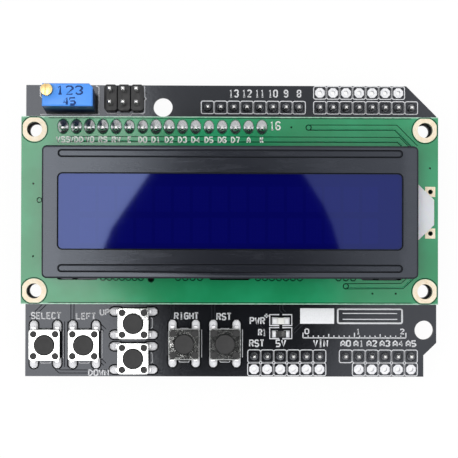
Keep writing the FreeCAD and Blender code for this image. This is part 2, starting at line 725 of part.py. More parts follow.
def build_button_plunger(name, x, y, turned):
    """Pressed stem with its keyed collar under the cover and a nub on the dome."""
    body = new_body(f"{name}_plunger", x, y, board_top, turned)
    collar_top = s.button_base_height
    collar_low = collar_top - s.button_flange_height
    collar = new_sketch(body, f"{name}_collar", offset=collar_low)
    draw_regular(collar, 0, 0, s.button_flange_radius)
    pad(body, collar, s.button_flange_height)
    stem = new_sketch(body, f"{name}_stem", offset=collar_top)
    draw_circle(stem, 0, 0, s.button_stem_radius)
    pad(body, stem, s.button_cover_sheet + s.button_stem_rise)
    nub = new_sketch(body, f"{name}_nub", offset=collar_low)
    draw_regular(nub, 0, 0, s.button_nub_radius)
    pad(body, nub, collar_low - dome_top - s.dome_top_gap, downwards=True)


def build_button_dome(name, x, y, turned):
    """Snap dome that lies on the floor of the well and pushes the stem back."""
    body = new_body(f"{name}_dome", x, y, board_top, turned)
    rim = s.button_well_radius - s.dome_side_gap
    outside = ("Additive", rim, dome_top)
    inside = ("Subtractive", rim - s.dome_sheet, dome_top - s.dome_sheet)
    for kind, side, top in (outside, inside):
        low = new_sketch(body, f"{name}_dome_rim_{kind}", offset=well_floor)
        draw_regular(low, 0, 0, side)
        high = new_sketch(body, f"{name}_dome_crown_{kind}", offset=top)
        draw_regular(high, 0, 0, s.dome_crown_radius)
        loft(body, kind, low, high)


def build_button_strips(name, x, y, turned):
    """Two contact strips that run through the base and end in bent feet."""
    body = new_body(f"{name}_contacts", x, y, board_top, turned)
    profile = new_sketch(body, f"{name}_strip_profile", "YZ_Plane", offset=first_strip_x)
    shoulder = half_button + s.lead_sheet
    foot = shoulder + s.lead_bend
    low, sheet_top = s.lead_level, s.lead_level + s.lead_sheet
    right_side = [
        (shoulder, low),
        (foot, 0),
        (half_leads, 0),
        (half_leads, s.lead_sheet),
        (foot + s.lead_sheet, s.lead_sheet),
        (shoulder + s.lead_sheet, sheet_top),
    ]
    left_side = [(-across, up) for across, up in reversed(right_side)]
    draw_polygon(profile, right_side + left_side)
    strip = pad(body, profile, s.lead_width)
    repeat(body, strip, "X_Axis", s.lead_pitch, size(BUTTON_STRIPS))


def build_buttons():
    """Six push buttons from the same five pieces."""
    for name, x, y, turned in BUTTONS:
        build_button_base(name, x, y, turned)
        build_button_cover(name, x, y, turned)
        build_button_plunger(name, x, y, turned)
        build_button_dome(name, x, y, turned)
        build_button_strips(name, x, y, turned)


def lean_back(body):
    """Tip a trimmer piece back about the rear edge of its feet."""
    tilt = FreeCAD.Rotation(FreeCAD.Vector(-1, 0, 0), s.trimmer_lean.number)
    body.Placement = FreeCAD.Placement(FreeCAD.Vector(), tilt)
    bind(body, "Placement.Base.x", trimmer_x)
    bind(body, "Placement.Base.y", trimmer_back)
    bind(body, "Placement.Base.z", board_top)


def build_trimmer():
    """Contrast trimmer: body on two feet, slotted adjusting screw and three pins."""
    top = s.trimmer_foot + s.trimmer_height
    middle_y = -s.trimmer_depth / 2
    screw_x = -s.trimmer_width / 2 + s.screw_side_inset
    screw_y = -s.screw_back_inset
    body = new_body("trimmer_body", trimmer_x, trimmer_back, board_top)
    lean_back(body)
    block = new_sketch(body, "trimmer_block", offset=s.trimmer_foot)
    side = s.trimmer_width / 2
    draw_polygon(block, [
        (-side, -s.trimmer_depth),
        (side, -s.trimmer_depth),
        (side, -s.trimmer_corner),
        (side - s.trimmer_corner, 0),
        (-side, 0),
    ])
    blank = pad(body, block, s.trimmer_height)
    feet = new_sketch(body, "trimmer_feet", offset=s.trimmer_foot)
    for end in (-1, 1):
        foot_x = end * (side - s.trimmer_corner - s.trimmer_foot_width / 2)
        draw_rectangle(feet, foot_x, middle_y, s.trimmer_foot_width, s.trimmer_depth)
    blank = pad(body, feet, s.trimmer_foot, downwards=True)
    dress(body, "Chamfer", blank, lambda edge: level(edge, top), "Size", s.trimmer_edge)
    recess = new_sketch(body, "screw_recess", offset=top)
    draw_circle(recess, screw_x, screw_y, s.screw_head_radius + s.screw_running_gap)
    pocket(body, recess, s.screw_head_sink)
    bore = new_sketch(body, "screw_bore", offset=top - s.screw_head_sink)
    draw_circle(bore, screw_x, screw_y, s.screw_shaft_radius + s.screw_running_gap)
    pocket(body, bore, s.screw_shaft_length + s.screw_end_gap)

    screw = new_body("trimmer_screw", trimmer_x, trimmer_back, board_top)
    lean_back(screw)
    shaft_top = top - s.screw_head_sink
    shaft = new_sketch(screw, "screw_shaft", offset=shaft_top - s.screw_shaft_length)
    draw_circle(shaft, screw_x, screw_y, s.screw_shaft_radius)
    pad(screw, shaft, s.screw_shaft_length)
    head = new_sketch(screw, "screw_head", offset=shaft_top)
    draw_circle(head, screw_x, screw_y, s.screw_head_radius)
    pad(screw, head, s.screw_head_sink + s.screw_head_rise)
    slot = new_sketch(screw, "screw_slot", offset=top + s.screw_head_rise)
    draw_rectangle(slot, screw_x, screw_y, s.screw_slot_width, 3 * s.screw_head_radius)
    pocket(screw, slot, s.screw_slot_depth)

    pins = new_body("trimmer_pins", trimmer_x, trimmer_back, board_top)
    lean_back(pins)
    first_x = -s.pitch * (s.trimmer_pin_count - 1) / 2
    square = new_sketch(pins, "trimmer_pin", offset=s.trimmer_foot)
    draw_rectangle(square, first_x, middle_y, s.trimmer_pin_width, s.trimmer_pin_width)
    reach = s.trimmer_foot + s.board_thickness + s.trimmer_pin_stub
    pin = pad(pins, square, reach, downwards=True)
    repeat(pins, pin, "X_Axis", s.pitch, s.trimmer_pin_count)


def build_lamp_and_resistor():
    """Power lamp and its resistor beside the lower left header."""
    x = lower_left_first + s.pitch * s.lamp_column + s.lamp_side_shift
    lamp = new_body("power_lamp", x, lower_row + s.lamp_rise, board_top)
    base = new_sketch(lamp, "lamp_base")
    draw_rectangle(base, 0, 0, s.chip_length, s.chip_depth)
    pad(lamp, base, s.lamp_base_height)
    lens = new_sketch(lamp, "lamp_lens", offset=s.lamp_base_height)
    draw_rectangle(lens, 0, 0, s.lamp_lens_length, s.chip_depth)
    pad(lamp, lens, s.lamp_lens_height)
    resistor = new_body("lamp_resistor", x, lower_row + s.resistor_rise, board_top)
    core = new_sketch(resistor, "resistor_core", "YZ_Plane", offset=-s.chip_length / 2)
    draw_rectangle(core, 0, s.resistor_height / 2, s.chip_depth, s.resistor_height)
    pad(resistor, core, s.chip_length)
    cap_depth = s.chip_depth + 2 * s.resistor_cap_proud
    cap_height = s.resistor_height + s.resistor_cap_proud
    for name, start in (("left", -s.chip_length / 2), ("right", s.chip_length / 2 - s.resistor_cap)):
        cap = new_sketch(resistor, f"resistor_{name}_cap", "YZ_Plane", offset=start)
        draw_rectangle(cap, 0, cap_height / 2, cap_depth, cap_height)
        pad(resistor, cap, s.resistor_cap)


def build_display_board():
    """Green display board with corner, header, tab and backlight holes."""
    body = new_body("display_board", display_x, display_y, display_bottom)
    outline = new_sketch(body, "display_outline")
    draw_rectangle(outline, 0, 0, display_width, s.display_depth)
    pad(body, outline, s.display_thickness)
    corners = new_sketch(body, "display_corner_holes", offset=s.display_thickness)
    for side in (-1, 1):
        for end in (-1, 1):
            hole_x = side * display_hole_half_x
            hole_y = end * display_hole_half_y
            draw_circle(corners, hole_x, hole_y, s.display_hole_radius)
    for end in (-1, 1):
        hole_x = display_width / 2 - s.backlight_hole_inset
        hole_y = bezel_y - display_y + window_shift + end * s.backlight_hole_spacing / 2
        draw_regular(corners, hole_x, hole_y, s.backlight_hole_radius)
    hole_x = s.locating_hole_start - display_width / 2
    hole_y = bezel_y - display_y - bezel_depth / 2 - s.locating_hole_drop
    draw_circle(corners, hole_x, hole_y, s.locating_hole_radius)
    pocket(body, corners, s.display_thickness)
    filled = new_sketch(body, "display_pin_holes", offset=s.display_thickness)
    first_x = display_pin_first - display_x
    draw_rectangle(filled, first_x, display_pin_row - display_y, s.pin_width, s.pin_width)
    drilled = pocket(body, filled, s.display_thickness)
    repeat(body, drilled, "X_Axis", s.pitch, s.display_pin_count)
    slots = new_sketch(body, "bezel_tab_slots", offset=s.display_thickness)
    inner = bezel_depth / 2 - s.bezel_sheet - s.tab_slot_gap
    for end, reach in ((-1, s.tab_slot_lower_reach), (1, s.tab_slot_upper_reach)):
        outer = bezel_depth / 2 + reach
        slot_y = bezel_y - display_y + end * (inner + outer) / 2
        draw_slot(slots, first_tab_x, slot_y, s.tab_slot_length, outer - inner)
    drilled = pocket(body, slots, s.display_thickness)
    repeat(body, drilled, "X_Axis", s.tab_spacing, s.tab_count)


def build_bezel():
    """Pressed steel frame: window, two stiffening grooves, open corners and twisted tabs."""
    body = new_body("display_bezel", display_x, bezel_y, display_top)
    outline = new_sketch(body, "bezel_outline")
    draw_rectangle(outline, 0, 0, bezel_width, bezel_depth)
    block = pad(body, outline, s.bezel_height)
    rounded = dress(body, "Fillet", block, upright, "Radius", s.bezel_corner)
    top = s.bezel_height
    dress(body, "Chamfer", rounded, lambda edge: level(edge, top), "Size", s.bezel_rim)
    inside = new_sketch(body, "bezel_inside")
    draw_rectangle(inside, 0, 0, bezel_width - 2 * s.bezel_sheet, bezel_depth - 2 * s.bezel_sheet)
    pocket(body, inside, s.bezel_height - s.bezel_sheet, upwards=True)
    window = new_sketch(body, "bezel_window", offset=s.bezel_height)
    draw_rectangle(window, 0, window_shift, window_width, window_depth)
    opened = pocket(body, window, s.bezel_sheet)
    half_width = window_width.number / 2 + NEAR
    half_depth = window_depth.number / 2 + abs(window_shift.number) + NEAR

    def window_corner(edge):
        middle = edge.BoundBox.Center
        return upright(edge) and abs(middle.x) < half_width and abs(middle.y) < half_depth

    dress(body, "Fillet", opened, window_corner, "Radius", s.window_corner)
    groove_length = bezel_width - 2 * s.groove_end_margin
    grooves = new_sketch(body, "bezel_grooves", offset=s.bezel_height)
    upper_y = bezel_depth / 2 - s.groove_upper_inset
    lower_y = -bezel_depth / 2 + s.groove_lower_inset
    for groove_y in (upper_y, lower_y):
        draw_slot(grooves, 0, groove_y, groove_length, s.groove_width)
    pocket(body, grooves, s.groove_depth)
    notch = new_sketch(body, "backlight_notch", "YZ_Plane", offset=bezel_width / 2)
    notch_width = s.backlight_tab_root + 2 * s.backlight_notch_gap
    notch_height = s.backlight_tab_height + s.backlight_notch_gap
    draw_rectangle(notch, window_shift, notch_height / 2, notch_width, notch_height)
    pocket(body, notch, 2 * s.bezel_sheet)
    open_corners = new_sketch(body, "bezel_open_corners")
    for side in (-1, 1):
        for end in (-1, 1):
            gap_x = side * (bezel_width - s.bezel_corner_gap) / 2
            gap_y = end * (bezel_depth - s.bezel_corner_gap) / 2
            draw_rectangle(open_corners, gap_x, gap_y, s.bezel_corner_gap, s.bezel_corner_gap)
    pocket(body, open_corners, s.bezel_height - s.bezel_sheet - s.bezel_corner_web, upwards=True)
    tabs = new_sketch(body, "bezel_tabs")
    for end in (-1, 1):
        draw_rectangle(tabs, first_tab_x, end * tab_offset, s.tab_width, s.bezel_sheet)
    straight = pad(body, tabs, s.display_thickness, downwards=True)
    repeat(body, straight, "X_Axis", s.tab_spacing, s.tab_count)
    for name, end in (("lower", -1), ("upper", 1)):
        root = new_sketch(body, f"{name}_tab_root", offset=-s.display_thickness)
        draw_turned(root, first_tab_x, end * tab_offset, s.tab_width, s.bezel_sheet, 0)
        tip = new_sketch(body, f"{name}_tab_tip", offset=-s.display_thickness - s.tab_reach)
        draw_turned(tip, first_tab_x, end * tab_offset, s.tab_width, s.bezel_sheet, s.tab_twist.number)
        repeat(body, loft(body, "Additive", root, tip), "X_Axis", s.tab_spacing, s.tab_count)


def build_display_stack():
    """Two glass plates, rubber contact strips and the backlight inside the bezel."""
    inner_width = bezel_width - 2 * s.bezel_sheet
    inner_depth = bezel_depth - 2 * s.bezel_sheet
    glass_width = inner_width - 2 * s.glass_side_gap
    glass_depth = inner_depth - 2 * s.glass_side_gap
    inner_height = s.bezel_height - s.bezel_sheet
    strip_top = inner_height - s.glass_sheet
    light_top = strip_top - s.glass_sheet
    rear_depth = glass_depth - 2 * s.glass_ledge
    front = new_body("front_glass", display_x, bezel_y, display_top + strip_top)
    plate = new_sketch(front, "front_glass_plate")
    draw_rectangle(plate, 0, 0, glass_width, glass_depth)
    pad(front, plate, s.glass_sheet)
    rear = new_body("rear_glass", display_x, bezel_y, display_top + light_top)
    plate = new_sketch(rear, "rear_glass_plate")
    draw_rectangle(plate, 0, 0, glass_width, rear_depth)
    pad(rear, plate, s.glass_sheet)
    strips = new_body("contact_strips", display_x, bezel_y, display_top)
    strip = new_sketch(strips, "contact_strip")
    strip_y = glass_depth / 2 - s.strip_width / 2
    strip_length = glass_width - 2 * s.strip_end_gap
    draw_rectangle(strip, 0, -strip_y, strip_length, s.strip_width)
    draw_rectangle(strip, 0, strip_y, strip_length, s.strip_width)
    pad(strips, strip, strip_top)
    light = new_body("backlight", display_x, bezel_y, display_top)
    guide = new_sketch(light, "light_guide")
    draw_rectangle(guide, 0, 0, glass_width, rear_depth)
    pad(light, guide, light_top)
    tab = new_sketch(light, "backlight_tab")
    start_x = glass_width / 2 - s.glass_side_gap
    end_x = bezel_width / 2 + s.backlight_tab_length
    root_x = bezel_width / 2 + s.backlight_notch_gap
    root, tip = s.backlight_tab_root / 2, s.backlight_tab_tip / 2
    draw_polygon(tab, [
        (start_x, window_shift - root),
        (root_x, window_shift - root),
        (end_x, window_shift - tip),
        (end_x, window_shift + tip),
        (root_x, window_shift + root),
        (start_x, window_shift + root),
    ])
    pad(light, tab, s.backlight_tab_height)


def build_driver_covers():
    """Moulded covers over the driver chips, under the display board."""
    first_x = display_x - s.chip_spacing * (s.chip_count - 1) / 2
    body = new_body("driver_covers", first_x, display_y, display_bottom)
    base = new_sketch(body, "driver_cover_base")
    draw_regular(base, 0, 0, s.chip_radius, COVER_SIDES)
    crown = new_sketch(body, "driver_cover_crown", offset=-s.chip_height)
    draw_regular(crown, 0, 0, s.chip_crown_radius, COVER_SIDES)
    repeat(body, loft(body, "Additive", base, crown), "X_Axis", s.chip_spacing, s.chip_count)


build_carrier_board()
build_headers()
build_buttons()
build_trimmer()
build_lamp_and_resistor()
build_display_board()
build_bezel()
build_display_stack()
build_driver_covers()
doc.recompute()

for thing in doc.Objects:
    if "Invalid" in thing.State or "Error" in thing.State:
        raise RuntimeError(f"{thing.Name} failed: {thing.State}")
for part in SUBPARTS:
    if part.Shape.isNull() or not part.Shape.isValid():
        raise RuntimeError(f"{part.Label} has no valid shape")

os.makedirs("parts", exist_ok=True)
for part in SUBPARTS:
    part.Shape.exportStep(os.path.join("parts", part.Label + ".step"))
    solids = len(part.Shape.Solids)
    print(f"{part.Label}: {solids} solid(s), {part.Shape.Volume:.2f} mm3")
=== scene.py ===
import json
import math
import bmesh
import bpy
from mathutils import Matrix, Vector
from mathutils.geometry import tessellate_polygon

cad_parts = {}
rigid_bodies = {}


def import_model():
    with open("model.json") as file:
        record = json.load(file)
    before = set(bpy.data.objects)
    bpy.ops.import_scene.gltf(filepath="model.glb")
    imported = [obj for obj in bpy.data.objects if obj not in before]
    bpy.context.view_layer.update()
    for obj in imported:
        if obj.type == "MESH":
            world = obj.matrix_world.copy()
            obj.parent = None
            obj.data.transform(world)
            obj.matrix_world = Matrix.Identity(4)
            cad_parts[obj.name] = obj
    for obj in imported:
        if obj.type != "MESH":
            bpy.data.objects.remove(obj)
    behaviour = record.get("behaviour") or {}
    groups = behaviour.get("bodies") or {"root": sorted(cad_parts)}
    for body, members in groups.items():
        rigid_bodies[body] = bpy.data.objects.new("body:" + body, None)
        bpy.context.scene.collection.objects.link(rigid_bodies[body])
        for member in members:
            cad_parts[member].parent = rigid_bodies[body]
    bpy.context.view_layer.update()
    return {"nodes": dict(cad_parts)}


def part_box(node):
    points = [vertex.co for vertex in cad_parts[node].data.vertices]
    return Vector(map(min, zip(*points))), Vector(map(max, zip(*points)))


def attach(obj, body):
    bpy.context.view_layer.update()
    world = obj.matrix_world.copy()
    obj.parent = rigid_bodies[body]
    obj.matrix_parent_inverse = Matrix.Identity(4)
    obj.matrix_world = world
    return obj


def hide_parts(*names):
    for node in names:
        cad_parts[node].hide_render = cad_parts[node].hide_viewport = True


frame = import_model()

# Lengths below are in millimetres, in the frame of the CAD model
MM = 0.001


class Place:
    """The box round one CAD node."""

    def __init__(self, node):
        low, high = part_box(node)
        self.left, self.front, self.bottom = (value / MM for value in low)
        self.right, self.back, self.top = (value / MM for value in high)
        self.x = (self.left + self.right) / 2
        self.y = (self.front + self.back) / 2
        self.width = self.right - self.left
        self.depth = self.back - self.front


carrier = Place("carrier_board")
display = Place("display_board")
bezel = Place("display_bezel")
glass = Place("front_glass")
trimmer = Place("trimmer_body")

# The trimmer leans back, so its top rises towards its front ridge
TRIMMER_LEAN = math.radians(3.6)
TRIMMER_DEPTH = 4.33
trimmer_ridge = trimmer.back - TRIMMER_DEPTH * math.cos(TRIMMER_LEAN)

PITCH = 2.54
PIN_WIDTH = 0.64
PIN_TIP = 0.36
INK = 0.02
THIN_STROKE = 0.008
PLUG_ROWS = ["upper_left", "upper_right", "lower_left", "lower_right"]
BUTTONS = ["select_button", "left_button", "up_button", "down_button", "right_button", "reset_button"]


def pins_of(node):
    """Middles of a node's square pins, row by row."""
    place = Place(node)
    columns = round((place.width - PIN_WIDTH) / PITCH) + 1
    rows = round((place.depth - PIN_WIDTH) / PITCH) + 1
    first_x = place.left + PIN_WIDTH / 2
    first_y = place.front + PIN_WIDTH / 2
    return [(first_x + PITCH * c, first_y + PITCH * r) for r in range(rows) for c in range(columns)]


# Spare plated holes beside the plug headers
SPARE_UPPER_RISE = 2.9
upper_right = pins_of("upper_right_pins")
lower_left = pins_of("lower_left_pins")
lower_right = pins_of("lower_right_pins")
SPARE_HOLES = [(x, y + SPARE_UPPER_RISE) for x, y in upper_right[:7]]
SPARE_HOLES += [(x, y - PITCH) for x, y in lower_left]
SPARE_HOLES += [(x, y - PITCH) for x, y in lower_right[1:]]


class Wire:
    """One output of a node. Arithmetic on it adds the nodes that work it out."""

    def __init__(self, tree, socket):
        self.tree = tree
        self.socket = socket

    def __add__(self, other):
        return self.tree.maths("ADD", self, other)

    def __radd__(self, other):
        return self.tree.maths("ADD", other, self)

    def __sub__(self, other):
        return self.tree.maths("SUBTRACT", self, other)

    def __rsub__(self, other):
        return self.tree.maths("SUBTRACT", other, self)

    def __mul__(self, other):
        return self.tree.maths("MULTIPLY", self, other)

    def __truediv__(self, other):
        return self.tree.maths("DIVIDE", self, other)

    def __pow__(self, other):
        return self.tree.maths("POWER", self, other)

    def __abs__(self):
        return self.tree.maths("ABSOLUTE", self)

    def __gt__(self, other):
        return self.tree.maths("GREATER_THAN", self, other)

    def __lt__(self, other):
        return self.tree.maths("LESS_THAN", self, other)


class Maker:
    """Adds nodes to one tree."""

    def __init__(self, tree):
        self.tree = tree

    def node(self, kind, settings=None, sockets=None):
        """Add a node, set its properties, then link or set its sockets."""
        node = self.tree.nodes.new(kind)
        for name, value in (settings or {}).items():
            setattr(node, name, value)
        for name, value in (sockets or {}).items():
            if isinstance(value, Wire):
                self.tree.links.new(value.socket, node.inputs[name])
            else:
                node.inputs[name].default_value = value
        return node

    def out(self, kind, output=0, settings=None, sockets=None):
        """Add a node and give one of its outputs."""
        return Wire(self, self.node(kind, settings, sockets).outputs[output])

    def maths(self, operation, first, second=0.0):
        """Work out one number from two."""
        return self.out("ShaderNodeMath", 0, {"operation": operation}, {0: first, 1: second})

    def split(self, vector):
        """The three parts of a vector."""
        parts = self.node("ShaderNodeSeparateXYZ", None, {"Vector": vector})
        return [Wire(self, output) for output in parts.outputs]

    def step(self, value, low, high):
        """Rise smoothly from 0 to 1 as a value goes from low to high."""
        settings = {"interpolation_type": "SMOOTHSTEP"}
        return self.out("ShaderNodeMapRange", 0, settings, {"Value": value, "From Min": low, "From Max": high})


class Finish(Maker):
    """One procedural material on a Principled shader."""

    def __init__(self, name, **fixed):
        self.material = bpy.data.materials.new(name)
        self.material.use_nodes = True
        super().__init__(self.material.node_tree)
        self.shader = self.tree.nodes["Principled BSDF"]
        for socket, value in fixed.items():
            self.shader.inputs[socket.replace("_", " ")].default_value = value
        place = self.out("ShaderNodeTexCoord", "Object")
        settings = {"operation": "SCALE"}
        self.at = self.out("ShaderNodeVectorMath", 0, settings, {0: place, "Scale": 1 / MM})
        self.x, self.y, self.z = self.split(self.at)

    def give(self, socket, wire):
        """Let something that changes over the surface feed the shader."""
        self.tree.links.new(wire.socket, self.shader.inputs[socket])

    def noise(self, per_mm, detail=2.0, roughness=0.5, stretch=(1.0, 1.0, 1.0)):
        """Smooth noise with this many waves a millimetre."""
        scaled = self.out("ShaderNodeVectorMath", 0, {"operation": "MULTIPLY"}, {0: self.at, 1: stretch})
        sockets = {"Vector": scaled, "Scale": per_mm, "Detail": detail, "Roughness": roughness}
        return self.out("ShaderNodeTexNoise", "Fac", None, sockets)

    def mix(self, share, first, second):
        """Blend two colours."""
        node = self.node("ShaderNodeMix", {"data_type": "RGBA"}, {"Factor": share})
        for socket, value in ((node.inputs[6], first), (node.inputs[7], second)):
            if isinstance(value, Wire):
                self.tree.links.new(value.socket, socket)
            else:
                socket.default_value = (*value, 1.0)
        return Wire(self, node.outputs[2])

    def facing_up(self):
        """How far the surface faces up or down, from 0 on a side to 1."""
        normal = self.out("ShaderNodeNewGeometry", "Normal")
        return abs(self.split(normal)[2])

    def relief(self, height, depth):
        """Make the surface look raised by a height of 0 to 1 times a depth."""
        bump = self.out("ShaderNodeBump", 0, None, {"Height": height, "Distance": depth * MM, "Strength": 1.0})
        self.give("Normal", bump)


def board_finish(name, board, mask, thin_mask, fibre, edge_width, edge_tone, sheen):
    """Solder resist on a board of glass laminate, with sawn fibre at its edges."""
    paint = Finish(name, IOR=1.5)
    paint.shader.inputs["Specular Tint"].default_value = (*sheen, 1.0)
    cloud = paint.step(paint.noise(0.09, 3.0, 0.6), 0.35, 0.7)
    tone = paint.mix(cloud, mask, thin_mask)
    rim_y = abs(paint.y - board.y)
    half_depth = board.depth / 2
    rim = paint.step(rim_y + (paint.noise(1.5, 2.0) - 0.5) * edge_width, half_depth - edge_width, half_depth)
    tone = paint.mix(rim * 0.9, tone, edge_tone)
    fibres = paint.noise(0.8, 4.0, 0.7, (1.0, 1.0, 9.0))
    sawn = paint.mix(fibres, fibre, tuple(0.55 * part for part in fibre))
    flat = paint.step(paint.facing_up(), 0.4, 0.7)
    paint.give("Base Color", paint.mix(flat, sawn, tone))
    weave = paint.noise(2.2, 1.0, 0.4) * 0.6 + paint.noise(0.35, 2.0) * 0.4
    paint.relief(weave, 0.004)
    paint.give("Roughness", 0.62 - flat * 0.54 + paint.noise(0.5, 3.0) * 0.03)
    return paint.material


def moulded_finish(name, colour, roughness, grain=0.01, per_mm=6.0):
    """Moulded plastic with a fine grain."""
    paint = Finish(name, IOR=1.48)
    shade = paint.noise(0.5, 3.0, 0.6)
    dark, light = (tuple(share * part for part in colour) for share in (0.8, 1.2))
    paint.give("Base Color", paint.mix(shade, dark, light))
    paint.give("Roughness", roughness - 0.08 + paint.noise(1.2, 2.0) * 0.16)
    paint.relief(paint.noise(per_mm, 2.0, 0.6), grain)
    return paint.material


def trimmer_finish():
    """Blue moulded plastic, with painted shade down its steep sides, deepest towards the foot."""
    paint = Finish("blue_trimmer_plastic", IOR=1.48)
    shade = paint.noise(0.5, 3.0, 0.6)
    top_tone = paint.mix(shade, (0.055, 0.28, 0.88), (0.085, 0.35, 1.0))
    rise = paint.step(paint.z, trimmer.bottom, trimmer.top)
    # Painted shade: the steep sides are darker than the top, and darker still towards the foot
    shaded_side_tone = paint.mix(rise, (0.001, 0.004, 0.014), (0.008, 0.045, 0.17))
    flat = paint.step(paint.facing_up(), 0.3, 0.75)
    paint.give("Base Color", paint.mix(flat, shaded_side_tone, top_tone))
    paint.give("Roughness", 0.28 + paint.noise(1.2, 2.0) * 0.14)
    paint.relief(paint.noise(6.0, 2.0, 0.6), 0.01)
    return paint.material


def metal_finish(name, colour, roughness, ripple=0.01, per_mm=1.2, stain=0.7):
    """Bare or plated metal with slight ripples and uneven gloss."""
    paint = Finish(name, Metallic=1.0)
    patch = paint.noise(per_mm, 3.0, 0.6)
    paint.give("Base Color", paint.mix(patch, tuple(stain * part for part in colour), colour))
    paint.give("Roughness", roughness - 0.06 + paint.noise(per_mm * 2.5, 3.0) * 0.14)
    paint.relief(paint.noise(per_mm, 2.0), ripple)
    return paint.material


def pad_finish(name, dull, bright, metallic):
    """Dull plated copper with cloudy patches."""
    paint = Finish(name, Metallic=metallic, IOR=1.5)
    cloud = paint.step(paint.noise(1.3, 4.0, 0.65), 0.3, 0.7)
    paint.give("Base Color", paint.mix(cloud, dull, bright))
    paint.give("Roughness", 0.42 + cloud * 0.15)
    paint.relief(cloud, 0.03)
    return paint.material


def cover_finish():
    """Tinned sheet of the button covers, with mottled rolling marks."""
    paint = Finish("tinned_cover", Metallic=1.0)
    swirl = paint.out("ShaderNodeTexNoise", "Fac", None, {
        "Vector": paint.at, "Scale": 1.1, "Detail": 5.0, "Roughness": 0.65, "Distortion": 1.4,
    })
    mottle = paint.step(swirl, 0.35, 0.65)
    paint.give("Base Color", paint.mix(mottle, (0.55, 0.57, 0.57), (0.9, 0.91, 0.9)))
    paint.give("Roughness", 0.04 + mottle * 0.04)
    paint.relief(swirl, 0.0035)
    return paint.material


def ink_finish(name, colour, index=1.45):
    """Printed ink, a little uneven. The same finish gives the painted shade and highlight lines."""
    paint = Finish(name, IOR=index)
    speck = paint.step(paint.noise(4.0, 3.0, 0.7), 0.25, 0.75)
    paint.give("Base Color", paint.mix(speck, tuple(0.9 * part for part in colour), colour))
    paint.give("Roughness", 0.5 + speck * 0.15)
    return paint.material


def bezel_finish():
    """Satin black coating on the pressed frame, with painted shade on its steep slopes."""
    paint = Finish("satin_black_bezel", IOR=1.55)
    cloud = paint.noise(0.12, 3.0, 0.6)
    rub = paint.step(paint.noise(0.5, 4.0, 0.7, (0.25, 1.6, 1.0)), 0.45, 0.8)
    tone = paint.mix(cloud, (0.008, 0.009, 0.014), (0.012, 0.013, 0.019))
    # Painted shade: steep slopes of the bends, grooves and lip get a darker base colour than the flat top
    flat = paint.step(paint.facing_up(), 0.9, 0.995)
    worn = paint.mix(rub * 0.35, tone, (0.03, 0.031, 0.04))
    paint.give("Base Color", paint.mix(flat, (0.004, 0.005, 0.008), worn))
    paint.shader.inputs["Specular Tint"].default_value = (0.8, 0.87, 1.0, 1.0)
    paint.give("Roughness", 0.75 - flat * (0.62 - rub * 0.04))
    paint.relief(paint.noise(5.0, 3.0, 0.6), 0.004)
    return paint.material


# Character cells of the display
DOT = 0.6
DOT_GAP = 0.08
DOT_COLUMNS = 5
DOT_ROWS = 8
CELL_PITCH_X = 3.55
CELL_PITCH_Y = 5.94
CELL_COLUMNS = 16
CELL_ROWS = 2


def glass_finish():
    """Deep blue display glass, with character cells that barely show while it is off."""
    paint = Finish("blue_display_glass", Roughness=0.03, IOR=1.84)
    paint.shader.inputs["Specular Tint"].default_value = (0.28, 0.36, 0.68, 1.0)
    across = (paint.x - glass.x) / CELL_PITCH_X + CELL_COLUMNS / 2
    along = (paint.y - glass.y) / CELL_PITCH_Y + CELL_ROWS / 2
    in_x = paint.maths("FRACT", across) * CELL_PITCH_X
    in_y = paint.maths("FRACT", along) * CELL_PITCH_Y
    dots_x = paint.maths("FRACT", in_x / DOT)
    dots_y = paint.maths("FRACT", in_y / DOT)
    inside = (in_x < DOT * DOT_COLUMNS) * (in_y < DOT * DOT_ROWS)
    field = (across > 0.0) * (across < CELL_COLUMNS) * (along > 0.0) * (along < CELL_ROWS)
    dots = inside * field * (dots_x > DOT_GAP) * (dots_y > DOT_GAP)
    paint.give("Base Color", paint.mix(dots, (0.0005, 0.0005, 0.088), (0.001, 0.001, 0.1)))
    return paint.material


def light_guide_finish():
    """Milky backlight plastic."""
    paint = Finish("milky_light_guide", IOR=1.49, Subsurface_Weight=0.25, Subsurface_Scale=0.002)
    haze = paint.noise(0.4, 3.0, 0.6)
    paint.give("Base Color", paint.mix(haze, (0.66, 0.68, 0.72), (0.76, 0.78, 0.82)))
    paint.give("Roughness", 0.3 + haze * 0.15)
    paint.relief(paint.noise(3.0, 2.0), 0.006)
    return paint.material


FLOOR_GLOW = 0.93
FLOOR_LIGHT = 1.02


def floor_finish():
    """Pale floor that the camera sees as white, with the object's shadow on it."""
    material = bpy.data.materials.new("pale_floor")
    material.use_nodes = True
    maker = Maker(material.node_tree)
    shader = material.node_tree.nodes["Principled BSDF"]
    shader.inputs["Base Color"].default_value = (0.82, 0.82, 0.82, 1.0)
    shader.inputs["Roughness"].default_value = 0.9
    glow = maker.out("ShaderNodeEmission", 0, None, {"Color": (1.0, 1.0, 1.0, 1.0), "Strength": FLOOR_LIGHT})
    path = maker.node("ShaderNodeLightPath")
    seen = Wire(maker, path.outputs["Is Camera Ray"])
    bounced = Wire(maker, path.outputs["Is Glossy Ray"]) + Wire(maker, path.outputs["Is Transmission Ray"])
    share = seen * FLOOR_GLOW + bounced * FLOOR_GLOW * (1.0 - seen)
    mixed = maker.node("ShaderNodeMixShader", None, {"Fac": share})
    material.node_tree.links.new(shader.outputs[0], mixed.inputs[1])
    material.node_tree.links.new(glow.socket, mixed.inputs[2])
    output = material.node_tree.nodes["Material Output"]
    material.node_tree.links.new(mixed.outputs[0], output.inputs["Surface"])
    return material


# Edges below this many degrees look smooth. On pressings only shallow ones do, so that flat tops stay flat.
SMOOTH_BELOW = 32
SMOOTH_PRESSING = 10


